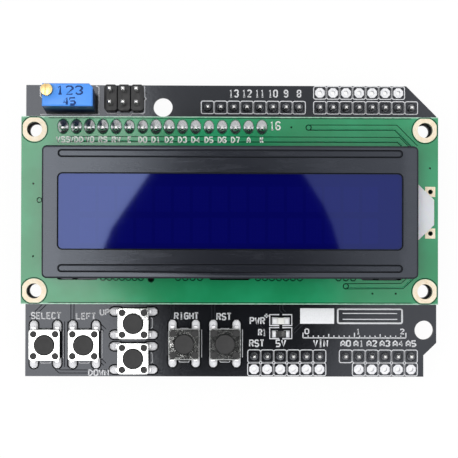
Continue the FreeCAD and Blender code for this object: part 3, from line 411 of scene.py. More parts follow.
class Form:
    """Points and faces of one piece, in millimetres."""

    def __init__(self):
        self.points = []
        self.faces = []

    def loop(self, outline, height):
        """Add a closed loop of points at one height."""
        first = len(self.points)
        self.points += [(x, y, height) for x, y in outline]
        return list(range(first, len(self.points)))

    def wall(self, lower, upper):
        """Join two loops that have as many points."""
        count = len(lower)
        for here in range(count):
            after = (here + 1) % count
            self.faces.append((lower[here], lower[after], upper[after], upper[here]))

    def cover(self, outer, *holes):
        """Fill the flat space between a loop and the loops inside it."""
        loops = [outer, *holes]
        numbers = [number for loop in loops for number in loop]
        flats = [[Vector(self.points[number]) for number in loop] for loop in loops]
        for triangle in tessellate_polygon(flats):
            self.faces.append(tuple(numbers[corner] for corner in triangle))

    def stack(self, rings):
        """Join each loop to the next one, and give the first and the last."""
        for lower, upper in zip(rings, rings[1:]):
            self.wall(lower, upper)
        return rings[0], rings[-1]

    def solid(self, rings):
        """Join a stack of loops and close both its ends."""
        for end in self.stack(rings):
            self.cover(end)

    def mesh(self, name, turn=None, smooth_below=SMOOTH_BELOW):
        """Make a mesh in metres, with its faces pointing outwards."""
        mesh = bpy.data.meshes.new(name)
        turn = turn or Matrix.Identity(4)
        mesh.from_pydata([turn @ Vector(point) * MM for point in self.points], [], self.faces)
        tidy(mesh, smooth_below)
        return mesh


def tidy(mesh, angle):
    """Merge doubles, point faces outwards and smooth the shallow edges."""
    work = bmesh.new()
    work.from_mesh(mesh)
    bmesh.ops.remove_doubles(work, verts=work.verts, dist=0.0001 * MM)
    bmesh.ops.recalc_face_normals(work, faces=work.faces)
    work.to_mesh(mesh)
    work.free()
    mesh.shade_smooth()
    mesh.set_sharp_from_angle(angle=math.radians(angle))


def add_piece(name, mesh, finish, body="module", stands_for=()):
    """Put a finished mesh in the scene, on the body that carries it."""
    piece = bpy.data.objects.new(name, mesh)
    bpy.context.scene.collection.objects.link(piece)
    mesh.materials.clear()
    mesh.materials.append(finish)
    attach(piece, body)
    if stands_for:
        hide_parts(*stands_for)


def rounded(width, depth, radius, centre=(0.0, 0.0), steps=6):
    """A rectangle with round corners, from the right side round to the left and back."""
    outline = []
    for turn, (side, end) in enumerate(((1, 1), (-1, 1), (-1, -1), (1, -1))):
        corner_x = centre[0] + side * (width / 2 - radius)
        corner_y = centre[1] + end * (depth / 2 - radius)
        for step in range(steps + 1):
            angle = math.pi / 2 * (turn + step / steps)
            outline.append((corner_x + radius * math.cos(angle), corner_y + radius * math.sin(angle)))
    return outline


def circle(radius, centre=(0.0, 0.0), sides=32):
    """A round outline."""
    angles = [math.tau * (side + 0.5) / sides for side in range(sides)]
    return [(centre[0] + radius * math.cos(a), centre[1] + radius * math.sin(a)) for a in angles]


SOFT_SEGMENTS = 2
SOFT_FROM_ANGLE = math.radians(35)
SOFT_SMOOTHING = math.radians(40)


def soften(node, width, finish, body="module"):
    """A copy of a CAD node with its sharp edges taken off, in the node's place."""
    mesh = frame["nodes"][node].data.copy()
    work = bmesh.new()
    work.from_mesh(mesh)
    bmesh.ops.remove_doubles(work, verts=work.verts, dist=0.001 * MM)
    bmesh.ops.dissolve_limit(work, angle_limit=math.radians(1), verts=work.verts, edges=work.edges)
    work.to_mesh(mesh)
    work.free()
    blank = bpy.data.objects.new(node + "_blank", mesh)
    bpy.context.scene.collection.objects.link(blank)
    bevel = blank.modifiers.new("edges", "BEVEL")
    bevel.width = width * MM
    bevel.segments = SOFT_SEGMENTS
    bevel.limit_method = "ANGLE"
    bevel.angle_limit = SOFT_FROM_ANGLE
    mesh = flatten(blank)
    mesh.shade_smooth()
    mesh.set_sharp_from_angle(angle=SOFT_SMOOTHING)
    add_piece(node + "_soft", mesh, finish, body, [node])


def flatten(blank):
    """Turn an object's modifiers into a plain mesh and drop the object."""
    bpy.context.view_layer.update()
    evaluated = blank.evaluated_get(bpy.context.evaluated_depsgraph_get())
    mesh = bpy.data.meshes.new_from_object(evaluated)
    blank.modifiers.clear()
    bpy.data.objects.remove(blank)
    return mesh


class Web(Maker):
    """A geometry node tree with named inputs."""

    def __init__(self, name, inputs):
        super().__init__(bpy.data.node_groups.new(name, "GeometryNodeTree"))
        face = self.tree.interface
        face.new_socket("Geometry", in_out="INPUT", socket_type="NodeSocketGeometry")
        self.ids = {}
        for label, kind in inputs:
            socket = face.new_socket(label, in_out="INPUT", socket_type="NodeSocket" + kind)
            self.ids[label] = socket.identifier
        face.new_socket("Geometry", in_out="OUTPUT", socket_type="NodeSocketGeometry")
        self.start = self.tree.nodes.new("NodeGroupInput")

    def given(self, label):
        """One of the tree's inputs."""
        return Wire(self, self.start.outputs[label])

    def finish(self, geometry):
        """End the tree with real faces in the given material."""
        real = self.out("GeometryNodeRealizeInstances", 0, None, {"Geometry": geometry})
        painted = self.out("GeometryNodeSetMaterial", 0, None, {"Geometry": real, "Material": self.given("Material")})
        end = self.tree.nodes.new("NodeGroupOutput")
        self.tree.links.new(painted.socket, end.inputs[0])

    def run(self, name, points, edges, values, finish):
        """Grow the tree on points and edges, and give the plain mesh."""
        seed = bpy.data.meshes.new(name + "_seed")
        seed.from_pydata([Vector(point) * MM for point in points], edges, [])
        blank = bpy.data.objects.new(name + "_blank", seed)
        bpy.context.scene.collection.objects.link(blank)
        modifier = blank.modifiers.new("grow", "NODES")
        modifier.node_group = self.tree
        for label, value in {**values, "Material": finish}.items():
            modifier[self.ids[label]] = value
        return flatten(blank)


def stroke_web():
    """Flat ribbons along paths, for print, gaps, and the painted shade and highlight lines of traces, grooves and
    edges.
    """
    web = Web("pen_strokes", [
        ("Width", "Float"), ("Top Width", "Float"), ("Thickness", "Float"), ("Material", "Material"),
    ])
    paths = web.out("GeometryNodeMeshToCurve", 0, None, {"Mesh": web.given("Geometry")})
    level = web.out("GeometryNodeSetCurveNormal", 0, {"mode": "Z_UP"}, {"Curve": paths})
    section = web.out("GeometryNodeCurvePrimitiveQuadrilateral", 0, {"mode": "TRAPEZOID"}, {
        "Height": web.given("Thickness"), "Bottom Width": web.given("Width"),
        "Top Width": web.given("Top Width"), "Offset": 0.0,
    })
    ribbon = web.out("GeometryNodeCurveToMesh", 0, None, {
        "Curve": level, "Profile Curve": section, "Fill Caps": True,
    })
    web.finish(ribbon)
    return web


def stud_web():
    """Turned studs on points: a hollow power gives a solder cone, a full one a round head."""
    web = Web("turned_studs", [
        ("Foot", "Float"), ("Tip", "Float"), ("Height", "Float"), ("Hollow", "Float"),
        ("Stretch", "Float"), ("Lean", "Float"), ("Turn", "Float"), ("Unevenness", "Float"),
        ("Seed", "Int"), ("Material", "Material"),
    ])
    foot, tip, height = web.given("Foot"), web.given("Tip"), web.given("Height")
    cone = web.out("GeometryNodeMeshCone", 0, {"fill_type": "NGON"}, {
        "Vertices": 20, "Side Segments": 7, "Radius Top": tip, "Radius Bottom": foot, "Depth": height,
    })
    x, y, z = web.split(web.out("GeometryNodeInputPosition"))
    rise = z / height
    straight = foot + (tip - foot) * rise
    wanted = tip + (foot - tip) * (1.0 - rise) ** web.given("Hollow")
    share = wanted / straight
    spread = 1.0 + (web.given("Stretch") - 1.0) * (1.0 - rise)
    moved = web.out("ShaderNodeCombineXYZ", 0, None, {
        "X": x * share, "Y": y * share * spread + web.given("Lean") * (1.0 - rise), "Z": z,
    })
    shaped = web.out("GeometryNodeSetPosition", 0, None, {"Geometry": cone, "Position": moved})
    smooth = web.out("GeometryNodeSetShadeSmooth", 0, None, {"Geometry": shaped})
    low, high = 1.0 - web.given("Unevenness"), 1.0 + web.given("Unevenness")
    size = web.out("FunctionNodeRandomValue", 1, {"data_type": "FLOAT"}, {2: low, 3: high, "Seed": web.given("Seed")})
    turned = web.out("ShaderNodeCombineXYZ", 0, None, {"X": web.given("Turn")})
    placed = web.out("GeometryNodeInstanceOnPoints", 0, None, {
        "Points": web.given("Geometry"), "Instance": smooth, "Rotation": turned, "Scale": size,
    })
    web.finish(placed)
    return web


STROKES = stroke_web()
STUDS = stud_web()


RIBBON_FLANK = 0.02


def lay_ribbons(name, paths, width, thickness, finish):
    """Lay ribbons along paths of (points in space, closed) that run through their middles."""
    points, edges = [], []
    for path, closed in paths:
        first = len(points)
        points += path
        edges += [(n, n + 1) for n in range(first, len(points) - 1)]
        if closed:
            edges.append((len(points) - 1, first))
    values = {"Width": width * MM, "Top Width": (width - 2 * RIBBON_FLANK) * MM, "Thickness": thickness * MM}
    add_piece(name, STROKES.run(name, points, edges, values, finish), finish)


def draw_strokes(name, paths, level, width, thickness, finish):
    """Lay ribbons along flat paths, with their undersides at a level."""
    raised = [([(x, y, level + thickness / 2) for x, y in path], closed) for path, closed in paths]
    lay_ribbons(name, raised, width, thickness, finish)


def print_carrier(name, paths, width):
    """Draw white print on top of the carrier."""
    draw_strokes(name, paths, carrier.top, width, INK, white_ink)


def line(*points):
    """An open path."""
    return (list(points), False)


def set_studs(name, places, level, finish, foot, tip, height, hollow,
              stretch=1.0, lean=0.0, downwards=False, unevenness=0.06, seed=1):
    """Put turned studs on places at a level."""
    values = {
        "Foot": foot * MM, "Tip": tip * MM, "Height": height * MM, "Hollow": hollow, "Stretch": stretch,
        "Lean": lean * MM, "Turn": math.pi if downwards else 0.0, "Unevenness": unevenness, "Seed": seed,
    }
    points = [(x, y, level) for x, y in places]
    add_piece(name, STUDS.run(name, points, [], values, finish), finish)


# Pen strokes of each letter: pairs of digits, across 0 to 4 and up 0 to 6
LETTERS = {
    "A": "00 04 26 44 40, 02 42", "C": "45 36 16 05 01 10 30 41", "D": "00 06 26 44 42 20 00",
    "E": "46 06 00 40, 03 33", "F": "46 06 00, 03 33", "G": "45 36 16 05 01 10 30 41 43 23",
    "H": "00 06, 40 46, 03 43", "I": "16 36, 26 20, 10 30", "K": "00 06, 46 02, 13 40",
    "L": "06 00 40", "N": "00 06 40 46", "O": "10 01 05 16 36 45 41 30 10",
    "P": "00 06 36 45 44 33 03", "R": "00 06 36 45 44 33 03, 23 40",
    "S": "45 36 16 05 04 13 33 42 41 30 10 01", "T": "06 46, 26 20", "U": "06 01 10 30 41 46",
    "V": "06 20 46", "W": "06 10 24 30 46", "0": "10 01 05 16 36 45 41 30 10",
    "1": "15 26 20, 10 30", "2": "05 16 36 45 44 00 40", "3": "05 16 36 45 44 33 42 41 30 10 01",
    "4": "30 36 02 42", "5": "46 06 03 33 42 41 30 00", "6": "45 36 16 05 01 10 30 41 42 33 03",
    "7": "06 46 20", "8": "13 04 05 16 36 45 44 33 13 02 01 10 30 41 42 33",
    "9": "01 10 30 41 45 36 16 05 04 13 43",
}
LETTER_ACROSS = 4
LETTER_UP = 6
LETTER_GAP = 0.48
LETTER_PEN = 0.2


def letter_paths(text, left, right, low, high):
    """Pen strokes of a word that fills a box."""
    left, right = left + LETTER_PEN / 2, right - LETTER_PEN / 2
    low, high = low + LETTER_PEN / 2, high - LETTER_PEN / 2
    wide = (right - left) / (len(text) + LETTER_GAP * (len(text) - 1))
    paths = []
    for index, letter in enumerate(text):
        start = left + index * wide * (1 + LETTER_GAP)
        for stroke in LETTERS[letter].split(", "):
            path = []
            for across, up in stroke.split():
                x = start + wide * int(across) / LETTER_ACROSS
                path.append((x, low + (high - low) * int(up) / LETTER_UP))
            paths.append((path, False))
    return paths


def box_path(centre, width, depth, radius):
    """A closed path round a box with round corners."""
    return (rounded(width, depth, radius, centre, 3), True)


# Ink and painted lines of a low index mirror almost nothing, so they stay dark under the cards
MATT_INDEX = 1.12

# Finishes
black_mask = board_finish(
    "black_board", carrier, (0.0035, 0.004, 0.0055), (0.006, 0.0065, 0.009), (0.05, 0.045, 0.04), 0.12,
    (0.03, 0.03, 0.033), (0.86, 0.9, 1.0),
)
green_mask = board_finish(
    "green_board", display, (0.008, 0.25, 0.095), (0.014, 0.31, 0.13), (0.35, 0.42, 0.28), 0.3,
    (0.5, 0.72, 0.6), (1.0, 1.0, 1.0),
)
white_ink = ink_finish("white_ink", (0.95, 0.96, 1.0))
pale_ink = ink_finish("pale_ink", (0.94, 1.0, 0.95))
blue_ink = ink_finish("dark_blue_ink", (0.01, 0.05, 0.22))
# Dark finish for gaps and dots, also used for painted shade lines in grooves and along bent edges
dark_gap = ink_finish("dark_gap", (0.004, 0.0045, 0.006), MATT_INDEX)
# Dark green for real gaps in the copper, also used for painted shade along the edges of the green traces
green_gap = ink_finish("green_gap", (0.002, 0.045, 0.022), MATT_INDEX)
# Pale green for painted highlights along the green traces
green_shine = ink_finish("green_shine", (0.05, 0.42, 0.2))
# Grey for painted highlights along the raised edges of the black board's traces
trace_edge = ink_finish("trace_edge", (0.045, 0.047, 0.056), MATT_INDEX)
dull_solder = metal_finish("dull_solder", (0.4, 0.41, 0.44), 0.22, 0.05, 1.6, 0.6)
solder = metal_finish("bright_solder", (0.74, 0.75, 0.77), 0.26, 0.05, 1.6, 0.75)
pad_tin = pad_finish("levelled_tin", (0.76, 0.77, 0.81), (0.93, 0.93, 0.96), 0.1)
pad_gold = pad_finish("pale_gold_pad", (0.86, 0.72, 0.52), (0.95, 0.86, 0.7), 0.15)
pin_tin = metal_finish("tinned_pin", (0.8, 0.8, 0.8), 0.22, 0.01, 2.0, 0.9)
silver_strip = metal_finish("silver_strip", (0.82, 0.82, 0.84), 0.3, 0.01, 1.5, 0.85)
dome_steel = metal_finish("spring_steel", (0.6, 0.6, 0.6), 0.25, 0.01, 1.5, 0.9)
brass = metal_finish("turned_brass", (0.9, 0.66, 0.3), 0.3, 0.01, 1.5, 0.85)
header_black = moulded_finish("black_header_plastic", (0.018, 0.018, 0.02), 0.42)
button_black = moulded_finish("black_button_plastic", (0.02, 0.02, 0.021), 0.55)
chip_black = moulded_finish("moulded_chip_resin", (0.01, 0.01, 0.01), 0.3)
blue_plastic = trimmer_finish()
# Pale grey for the painted highlights on the lips of the header's grooves
lip_highlight = moulded_finish("worn_plastic_edge", (0.11, 0.11, 0.115), 0.4)
strip_rubber = moulded_finish("contact_rubber", (0.5, 0.36, 0.4), 0.7, 0.02, 2.0)
resistor_black = moulded_finish("resistor_glaze", (0.012, 0.012, 0.013), 0.25)
lamp_base_white = moulded_finish("lamp_base", (0.8, 0.8, 0.78), 0.4)
tinned_cover = cover_finish()
satin_bezel = bezel_finish()
blue_glass = glass_finish()
milky_guide = light_guide_finish()


def paint_node(node, finish):
    """Give a CAD node its finish."""
    mesh = frame["nodes"][node].data
    mesh.materials.clear()
    mesh.materials.append(finish)


def dress_nodes():
    """Finishes of the CAD nodes that keep their own shape."""
    paint_node("carrier_board", black_mask)
    paint_node("display_board", green_mask)
    paint_node("front_glass", blue_glass)
    paint_node("rear_glass", blue_glass)
    paint_node("contact_strips", strip_rubber)
    paint_node("driver_covers", chip_black)
    paint_node("trimmer_pins", pin_tin)
    for row in PLUG_ROWS + ["program", "display"]:
        paint_node(f"{row}_header", header_black)
        paint_node(f"{row}_pins", pin_tin)
    for name in BUTTONS:
        paint_node(f"{name}_base", button_black)
        paint_node(f"{name}_contacts", silver_strip)
        paint_node(f"{name}_dome", dome_steel)


# Bezel
BEND = 0.4
BEZEL_SHEET = 0.4
BEZEL_CORNER = 0.95
WINDOW_WIDTH = 64.79
WINDOW_DEPTH = 14.15
WINDOW_RISE = 0.125
WINDOW_CORNER = 0.8
GROOVE_WIDTH = 1.3
GROOVE_SLOPE = 0.22
GROOVE_DEPTH = 0.15
GROOVE_LENGTH = 64.79
GROOVE_UPPER_INSET = 1.5
GROOVE_LOWER_INSET = 1.9
BEND_STEPS = 6
BEZEL_HEM = 1.1
CORNER_GAP = 0.75
TAB_SPACING = 29.15
TAB_WIDTH = 2.4
TAB_REACH = 1.0
TAB_TWIST = 30
BACKLIGHT_ROOT = 11.0
BACKLIGHT_TAB_HEIGHT = 2.8
BACKLIGHT_PLAY = 0.2
TAB_NECK = 0.5
SHARPEST_CORNER = 0.12
# Width and thickness of the painted shade lines round the grooves and the window
EDGE_LINE = 0.15
EDGE_LINE_THICKNESS = 0.006
GROOVE_MARGIN = 0.1
GROOVE_ROWS = [bezel.back - GROOVE_UPPER_INSET, bezel.front + GROOVE_LOWER_INSET]
WINDOW_CENTRE = (bezel.x, bezel.y + WINDOW_RISE)

# Rings of a pressing: how far each lies inside the outline and how deep below the top
GROOVE_PROFILE = [(0.0, 0.0), (0.06, 0.03), (GROOVE_SLOPE, GROOVE_DEPTH), (GROOVE_SLOPE + 0.06, GROOVE_DEPTH)]
LIP_PROFILE = [(-0.12, 0.0), (-0.03, 0.04), (0.0, 0.12), (0.0, BEZEL_SHEET)]

# Rings of a tab on its way down: height and twist in degrees
TAB_PROFILE = [
    (display.top, 0), (display.bottom, 0), (display.bottom - TAB_NECK, TAB_TWIST / 2),
    (display.bottom - TAB_REACH, TAB_TWIST),
]


def add_block(form, low, high):
    """Add a plain block between two corners."""
    outline = [(low[0], low[1]), (high[0], low[1]), (high[0], high[1]), (low[0], high[1])]
    form.solid([form.loop(outline, low[2]), form.loop(outline, high[2])])


def add_bezel_walls(form, hem):
    """Four folded walls below the hem, the right one open round the backlight's tab."""
    tab_half = BACKLIGHT_ROOT / 2 + BACKLIGHT_PLAY
    tab_top = display.top + BACKLIGHT_TAB_HEIGHT + BACKLIGHT_PLAY
    side_low, side_high = bezel.front + CORNER_GAP, bezel.back - CORNER_GAP
    for y_low in (bezel.front, bezel.back - BEZEL_SHEET):
        low = (bezel.left + CORNER_GAP, y_low, display.top)
        add_block(form, low, (bezel.right - CORNER_GAP, y_low + BEZEL_SHEET, hem))
    add_block(form, (bezel.left, side_low, display.top), (bezel.left + BEZEL_SHEET, side_high, hem))
    right = bezel.right - BEZEL_SHEET
    middle = WINDOW_CENTRE[1]
    add_block(form, (right, side_low, display.top), (bezel.right, middle - tab_half, tab_top))
    add_block(form, (right, middle + tab_half, display.top), (bezel.right, side_high, tab_top))
    add_block(form, (right, side_low, tab_top), (bezel.right, side_high, hem))


def add_tabs(form):
    """Tabs of the bezel through the display board, with twisted ends below it."""
    corners = [(-1, -1), (1, -1), (1, 1), (-1, 1)]
    for column in (-1, 0, 1):
        for end in (-1, 1):
            spot = (bezel.x + column * TAB_SPACING, bezel.y + end * (bezel.depth - BEZEL_SHEET) / 2)
            rings = []
            for height, twist in TAB_PROFILE:
                turn = Matrix.Rotation(math.radians(twist), 2)
                offsets = [turn @ Vector((x * TAB_WIDTH / 2, y * BEZEL_SHEET / 2)) for x, y in corners]
                rings.append(form.loop([(spot[0] + o.x, spot[1] + o.y) for o in offsets], height))
            form.solid(rings)


def make_bezel():
    """Pressed frame: bent edges, two stiffening grooves and a window with a bent lip, with painted shade lines round
    the grooves and the window.
    """
    form = Form()
    centre = (bezel.x, bezel.y)
    hem = bezel.top - BEZEL_HEM
    rings = [form.loop(rounded(bezel.width, bezel.depth, BEZEL_CORNER, centre), hem)]
    for step in range(BEND_STEPS + 1):
        angle = math.pi / 2 * step / BEND_STEPS
        inset = BEND * (1 - math.cos(angle))
        radius = max(BEZEL_CORNER - inset, SHARPEST_CORNER)
        outline = rounded(bezel.width - 2 * inset, bezel.depth - 2 * inset, radius, centre)
        rings.append(form.loop(outline, bezel.top - BEND + BEND * math.sin(angle)))
    foot, shoulder = form.stack(rings)
    holes = []
    for groove_y in GROOVE_ROWS:
        rings = []
        for inset, depth in GROOVE_PROFILE:
            wide = GROOVE_WIDTH - 2 * inset
            outline = rounded(GROOVE_LENGTH - 2 * inset, wide, wide / 2, (bezel.x, groove_y))
            rings.append(form.loop(outline, bezel.top - depth))
        mouth, bed = form.stack(rings)
        form.cover(bed)
        holes.append(mouth)
    rings = []
    for inset, depth in LIP_PROFILE:
        outline = rounded(WINDOW_WIDTH - 2 * inset, WINDOW_DEPTH - 2 * inset, WINDOW_CORNER - inset, WINDOW_CENTRE)
        rings.append(form.loop(outline, bezel.top - depth))
    mouth, lip = form.stack(rings)
    form.cover(shoulder, *holes, mouth)
    inner = rounded(bezel.width - 2 * BEZEL_SHEET, bezel.depth - 2 * BEZEL_SHEET, BEZEL_CORNER - BEZEL_SHEET, centre)
    ceiling, inner_foot = form.loop(inner, bezel.top - BEZEL_SHEET), form.loop(inner, hem)
    form.cover(ceiling, lip)
    form.wall(ceiling, inner_foot)
    form.wall(foot, inner_foot)
    add_bezel_walls(form, hem)
    add_tabs(form)
    # Dark strokes round the grooves and round the window are painted shade along their bent edges
    grooves = []
    for groove_y in GROOVE_ROWS:
        length, width = GROOVE_LENGTH + GROOVE_MARGIN, GROOVE_WIDTH + GROOVE_MARGIN
        grooves.append((rounded(length, width, GROOVE_WIDTH / 2, (bezel.x, groove_y)), True))
    draw_strokes("groove_edges", grooves, bezel.top, EDGE_LINE, EDGE_LINE_THICKNESS, dark_gap)
    edge = rounded(
        WINDOW_WIDTH + 2 * EDGE_LINE, WINDOW_DEPTH + 2 * EDGE_LINE, WINDOW_CORNER + EDGE_LINE, WINDOW_CENTRE,
    )
    draw_strokes("window_edge", [(edge, True)], bezel.top, EDGE_LINE, EDGE_LINE_THICKNESS, dark_gap)
    mesh = form.mesh("pressed_bezel", smooth_below=SMOOTH_PRESSING)
    add_piece("pressed_bezel", mesh, satin_bezel, stands_for=["display_bezel"])


# Buttons
COVER_SHEET = 0.25
COVER_CORNER = 0.55
COVER_EDGE = 0.12
STEM_HOLE = 1.98
POST_OFFSET = 2.1
POST_HOLE = 0.62
SKIRT_WIDTH = 3.6
SKIRT_DROP = 1.8
SKIRT_CORNER = 0.05
HOLE_EDGE = 0.05
STEM_HOLE_SIDES = 48
POST_HOLE_SIDES = 20
HEAD_SINK = 0.02
POSTS = [(x * POST_OFFSET, y * POST_OFFSET) for x in (-1, 1) for y in (-1, 1)]

# Rings of the cover's rolled edge: inset and depth below the top
COVER_PROFILE = [(0.0, COVER_EDGE), (0.04, 0.04), (COVER_EDGE, 0.0)]

# Holes of the cover: x, y, radius, sides
COVER_HOLES = [(0.0, 0.0, STEM_HOLE, STEM_HOLE_SIDES)] + [(x, y, POST_HOLE, POST_HOLE_SIDES) for x, y in POSTS]


def button_frame(name):
    """Where a button stands, and the matrix that puts a piece there."""
    place = Place(f"{name}_cover")
    leads = Place(f"{name}_contacts")
    turned = leads.width > leads.depth
    turn = Matrix.Rotation(math.pi / 2 if turned else 0.0, 4, "Z")
    return place, turned, Matrix.Translation((place.x, place.y, 0.0)) @ turn


def make_cover(name):
    """Stamped cover with rolled edges, round holes and two folded sides."""
    place, _, spot = button_frame(name)
    form = Form()
    low = place.top - COVER_SHEET
    rings = [form.loop(rounded(place.width, place.depth, COVER_CORNER), low)]
    for inset, depth in COVER_PROFILE:
        outline = rounded(place.width - 2 * inset, place.depth - 2 * inset, COVER_CORNER - inset)
        rings.append(form.loop(outline, place.top - depth))
    foot, rim = form.stack(rings)
    upper, lower = [], []
    for x, y, radius, sides in COVER_HOLES:
        mouth, end = form.stack([
            form.loop(circle(radius + HOLE_EDGE, (x, y), sides), place.top),
            form.loop(circle(radius, (x, y), sides), place.top - HOLE_EDGE),
            form.loop(circle(radius, (x, y), sides), low),
        ])
        upper.append(mouth)
        lower.append(end)
    form.cover(rim, *upper)
    form.cover(foot, *lower)
    for side in (-1, 1):
        x = side * (place.width - COVER_SHEET) / 2
        outline = rounded(COVER_SHEET, SKIRT_WIDTH, SKIRT_CORNER, (x, 0.0), 1)
        form.solid([form.loop(outline, low - SKIRT_DROP), form.loop(outline, low)])
    mesh = form.mesh(f"{name}_stamped_cover", spot, smooth_below=SMOOTH_PRESSING)
    add_piece(f"{name}_stamped_cover", mesh, tinned_cover, stands_for=[f"{name}_cover"])


STEM_RADIUS = 1.9
STEM_EDGE = 0.16
STEM_SIDES = 56
STEM_BELOW_COVER = 0.6

# Rings of the stem from its rim to its slightly hollow top: inset and depth below the top
STEM_PROFILE = [(0.0, STEM_EDGE)]
STEM_PROFILE += [(STEM_EDGE * (1 - math.cos(a)), STEM_EDGE * (1 - math.sin(a))) for a in (0.4, 0.8, 1.2, 1.57)]
STEM_PROFILE += [(0.5, 0.0), (0.62, 0.025)]


def make_plunger(name):
    """Turned stem with a rounded rim, on its own sliding body."""
    place = Place(f"{name}_plunger")
    foot = Place(f"{name}_cover").top - COVER_SHEET - STEM_BELOW_COVER
    form = Form()
    rings = [form.loop(circle(STEM_RADIUS, sides=STEM_SIDES), foot)]
    for inset, depth in STEM_PROFILE:
        rings.append(form.loop(circle(STEM_RADIUS - inset, sides=STEM_SIDES), place.top - depth))
    form.solid(rings)
    mesh = form.mesh(f"{name}_stem", Matrix.Translation((place.x, place.y, 0.0)))
    add_piece(f"{name}_stem", mesh, button_black, name, [f"{name}_plunger"])


PAD_PITCH = 4.5
PAD_WIDTH = 1.6
PAD_REACH = 1.6
PAD_ROOT = 2.55
PAD_GAP = 0.14
PAD_ARC_STEPS = 10
BUTTON_HALF = 3.0

# Rings of the solder on a pad: inset and height
PAD_PROFILE = [(0.0, 0.0), (0.0, 0.1), (0.07, 0.28), (0.2, 0.38), (0.42, 0.42)]

# Printed marks round a button, as it stands unturned
END_MARK = [(-1.0, -3.35), (-0.85, -3.6), (0.85, -3.6), (1.0, -3.35)]
SIDE_MARKS = [[(-0.85, 2.9), (0.85, 2.9)], [(3.4, -2.7), (3.4, 2.7)]]


def pad_outline(inset):
    """Half-round ended pad that points along -y from the middle of a button side."""
    radius = PAD_WIDTH / 2 - inset
    low = -(BUTTON_HALF + PAD_REACH) + PAD_WIDTH / 2
    arc = [math.pi + math.pi * step / PAD_ARC_STEPS for step in range(PAD_ARC_STEPS + 1)]
    outline = [(radius * math.cos(a), low + radius * math.sin(a)) for a in arc]
    return outline + [(radius, -PAD_ROOT - inset), (-radius, -PAD_ROOT - inset)]


def moved(spot, outline):
    """A flat outline put in its place by a matrix."""
    return [(spot @ Vector((x, y, 0.0)))[:2] for x, y in outline]


def make_button_pads():
    """Solder on the contact feet of every button, the dark gap round each and the printed marks."""
    form = Form()
    gaps, prints = [], []
    for name in BUTTONS:
        _, turned, spot = button_frame(name)
        for side in (-1, 1):
            for half_turn in (0.0, math.pi):
                shift = Matrix.Translation((side * PAD_PITCH / 2, 0.0, 0.0))
                here = spot @ shift @ Matrix.Rotation(half_turn, 4, "Z")
                rings = []
                for inset, height in PAD_PROFILE:
                    rings.append(form.loop(moved(here, pad_outline(inset)), carrier.top + height))
                form.solid(rings)
                gaps.append((moved(here, pad_outline(-PAD_GAP)), True))
        marks = [END_MARK] if turned else [END_MARK, *SIDE_MARKS]
        prints += [(moved(spot, mark), False) for mark in marks]
    add_piece("button_solder", form.mesh("button_solder"), pad_tin)
    draw_strokes("button_pad_gaps", gaps, carrier.top, 0.24, 0.012, dark_gap)
    print_carrier("button_print", prints, 0.17)


def make_buttons():
    """Everything on the six buttons that the eye sees."""
    heads = []
    for name in BUTTONS:
        make_cover(name)
        make_plunger(name)
        place = Place(f"{name}_cover")
        heads += [(place.x + x, place.y + y) for x, y in POSTS]
    level = Place("select_button_cover").top - HEAD_SINK
    set_studs("staked_heads", heads, level, button_black, 0.7, 0.3, 0.16, 0.45, unevenness=0.02)
    make_button_pads()


def make_solder():
    """Solder joints on both boards, above and below."""
    plug = [spot for row in PLUG_ROWS for spot in pins_of(f"{row}_pins")]
    set_studs("plug_solder", plug, carrier.top, dull_solder, 0.9, PIN_TIP, 1.0, 2.0)
    below = pins_of("program_pins") + pins_of("display_pins")
    set_studs("lower_solder", below, carrier.bottom, solder, 0.85, PIN_TIP, 1.0, 2.0,
              downwards=True, seed=2)
    set_studs("display_solder", pins_of("display_pins"), display.top, solder, 1.1, PIN_TIP, 0.95, 1.6,
              stretch=1.33, lean=0.28, seed=3)
    trimmer_pins = Place("trimmer_pins")
    feet = [(trimmer_pins.x + PITCH * n, trimmer_pins.y) for n in (-1, 0, 1)]
    set_studs("trimmer_solder", feet, carrier.bottom, solder, 0.85, 0.4, 0.9, 2.0,
              downwards=True, seed=4)


def ring_pads(name, rings, level, finish, thickness=0.03, downwards=False):
    """Flat metal between an outer and an inner outline, round each hole."""
    form = Form()
    low = level - thickness if downwards else level
    for outer, inner in rings:
        outer_low, inner_low = form.loop(outer, low), form.loop(inner, low)
        outer_top, inner_top = form.loop(outer, low + thickness), form.loop(inner, low + thickness)
        form.wall(outer_low, outer_top)
        form.wall(inner_top, inner_low)
        form.cover(outer_top, inner_top)
        form.cover(outer_low, inner_low)
    add_piece(name, form.mesh(name), finish)


CORNER_HOLE_INSET = 2.5
CORNER_HOLE_RADIUS = 1.45
CORNER_PAD_RADIUS = 2.38
CORNER_PAD_MARGIN = 0.28
CORNER_PAD_THICKNESS = 0.02
BACKLIGHT_PADS = (7.535, -0.465)
BACKLIGHT_PAD_X = 38.38
BACKLIGHT_PAD_WIDTH = 1.95
BACKLIGHT_HOLE_X = 38.435
BACKLIGHT_HOLE = 0.46
SPARE_PAD = 1.0
SPARE_HOLE = 0.44
SPARE_BARREL = 0.49
HOLE_SIDES = 16
MOAT_GAP = 0.17
MOAT_MARGIN = 0.12


def inside_display(outline, margin):
    """An outline held at a margin inside the display board's edges."""
    low_x, high_x = display.left + margin, display.right - margin
    low_y, high_y = display.front + margin, display.back - margin
    return [(min(max(x, low_x), high_x), min(max(y, low_y), high_y)) for x, y in outline]


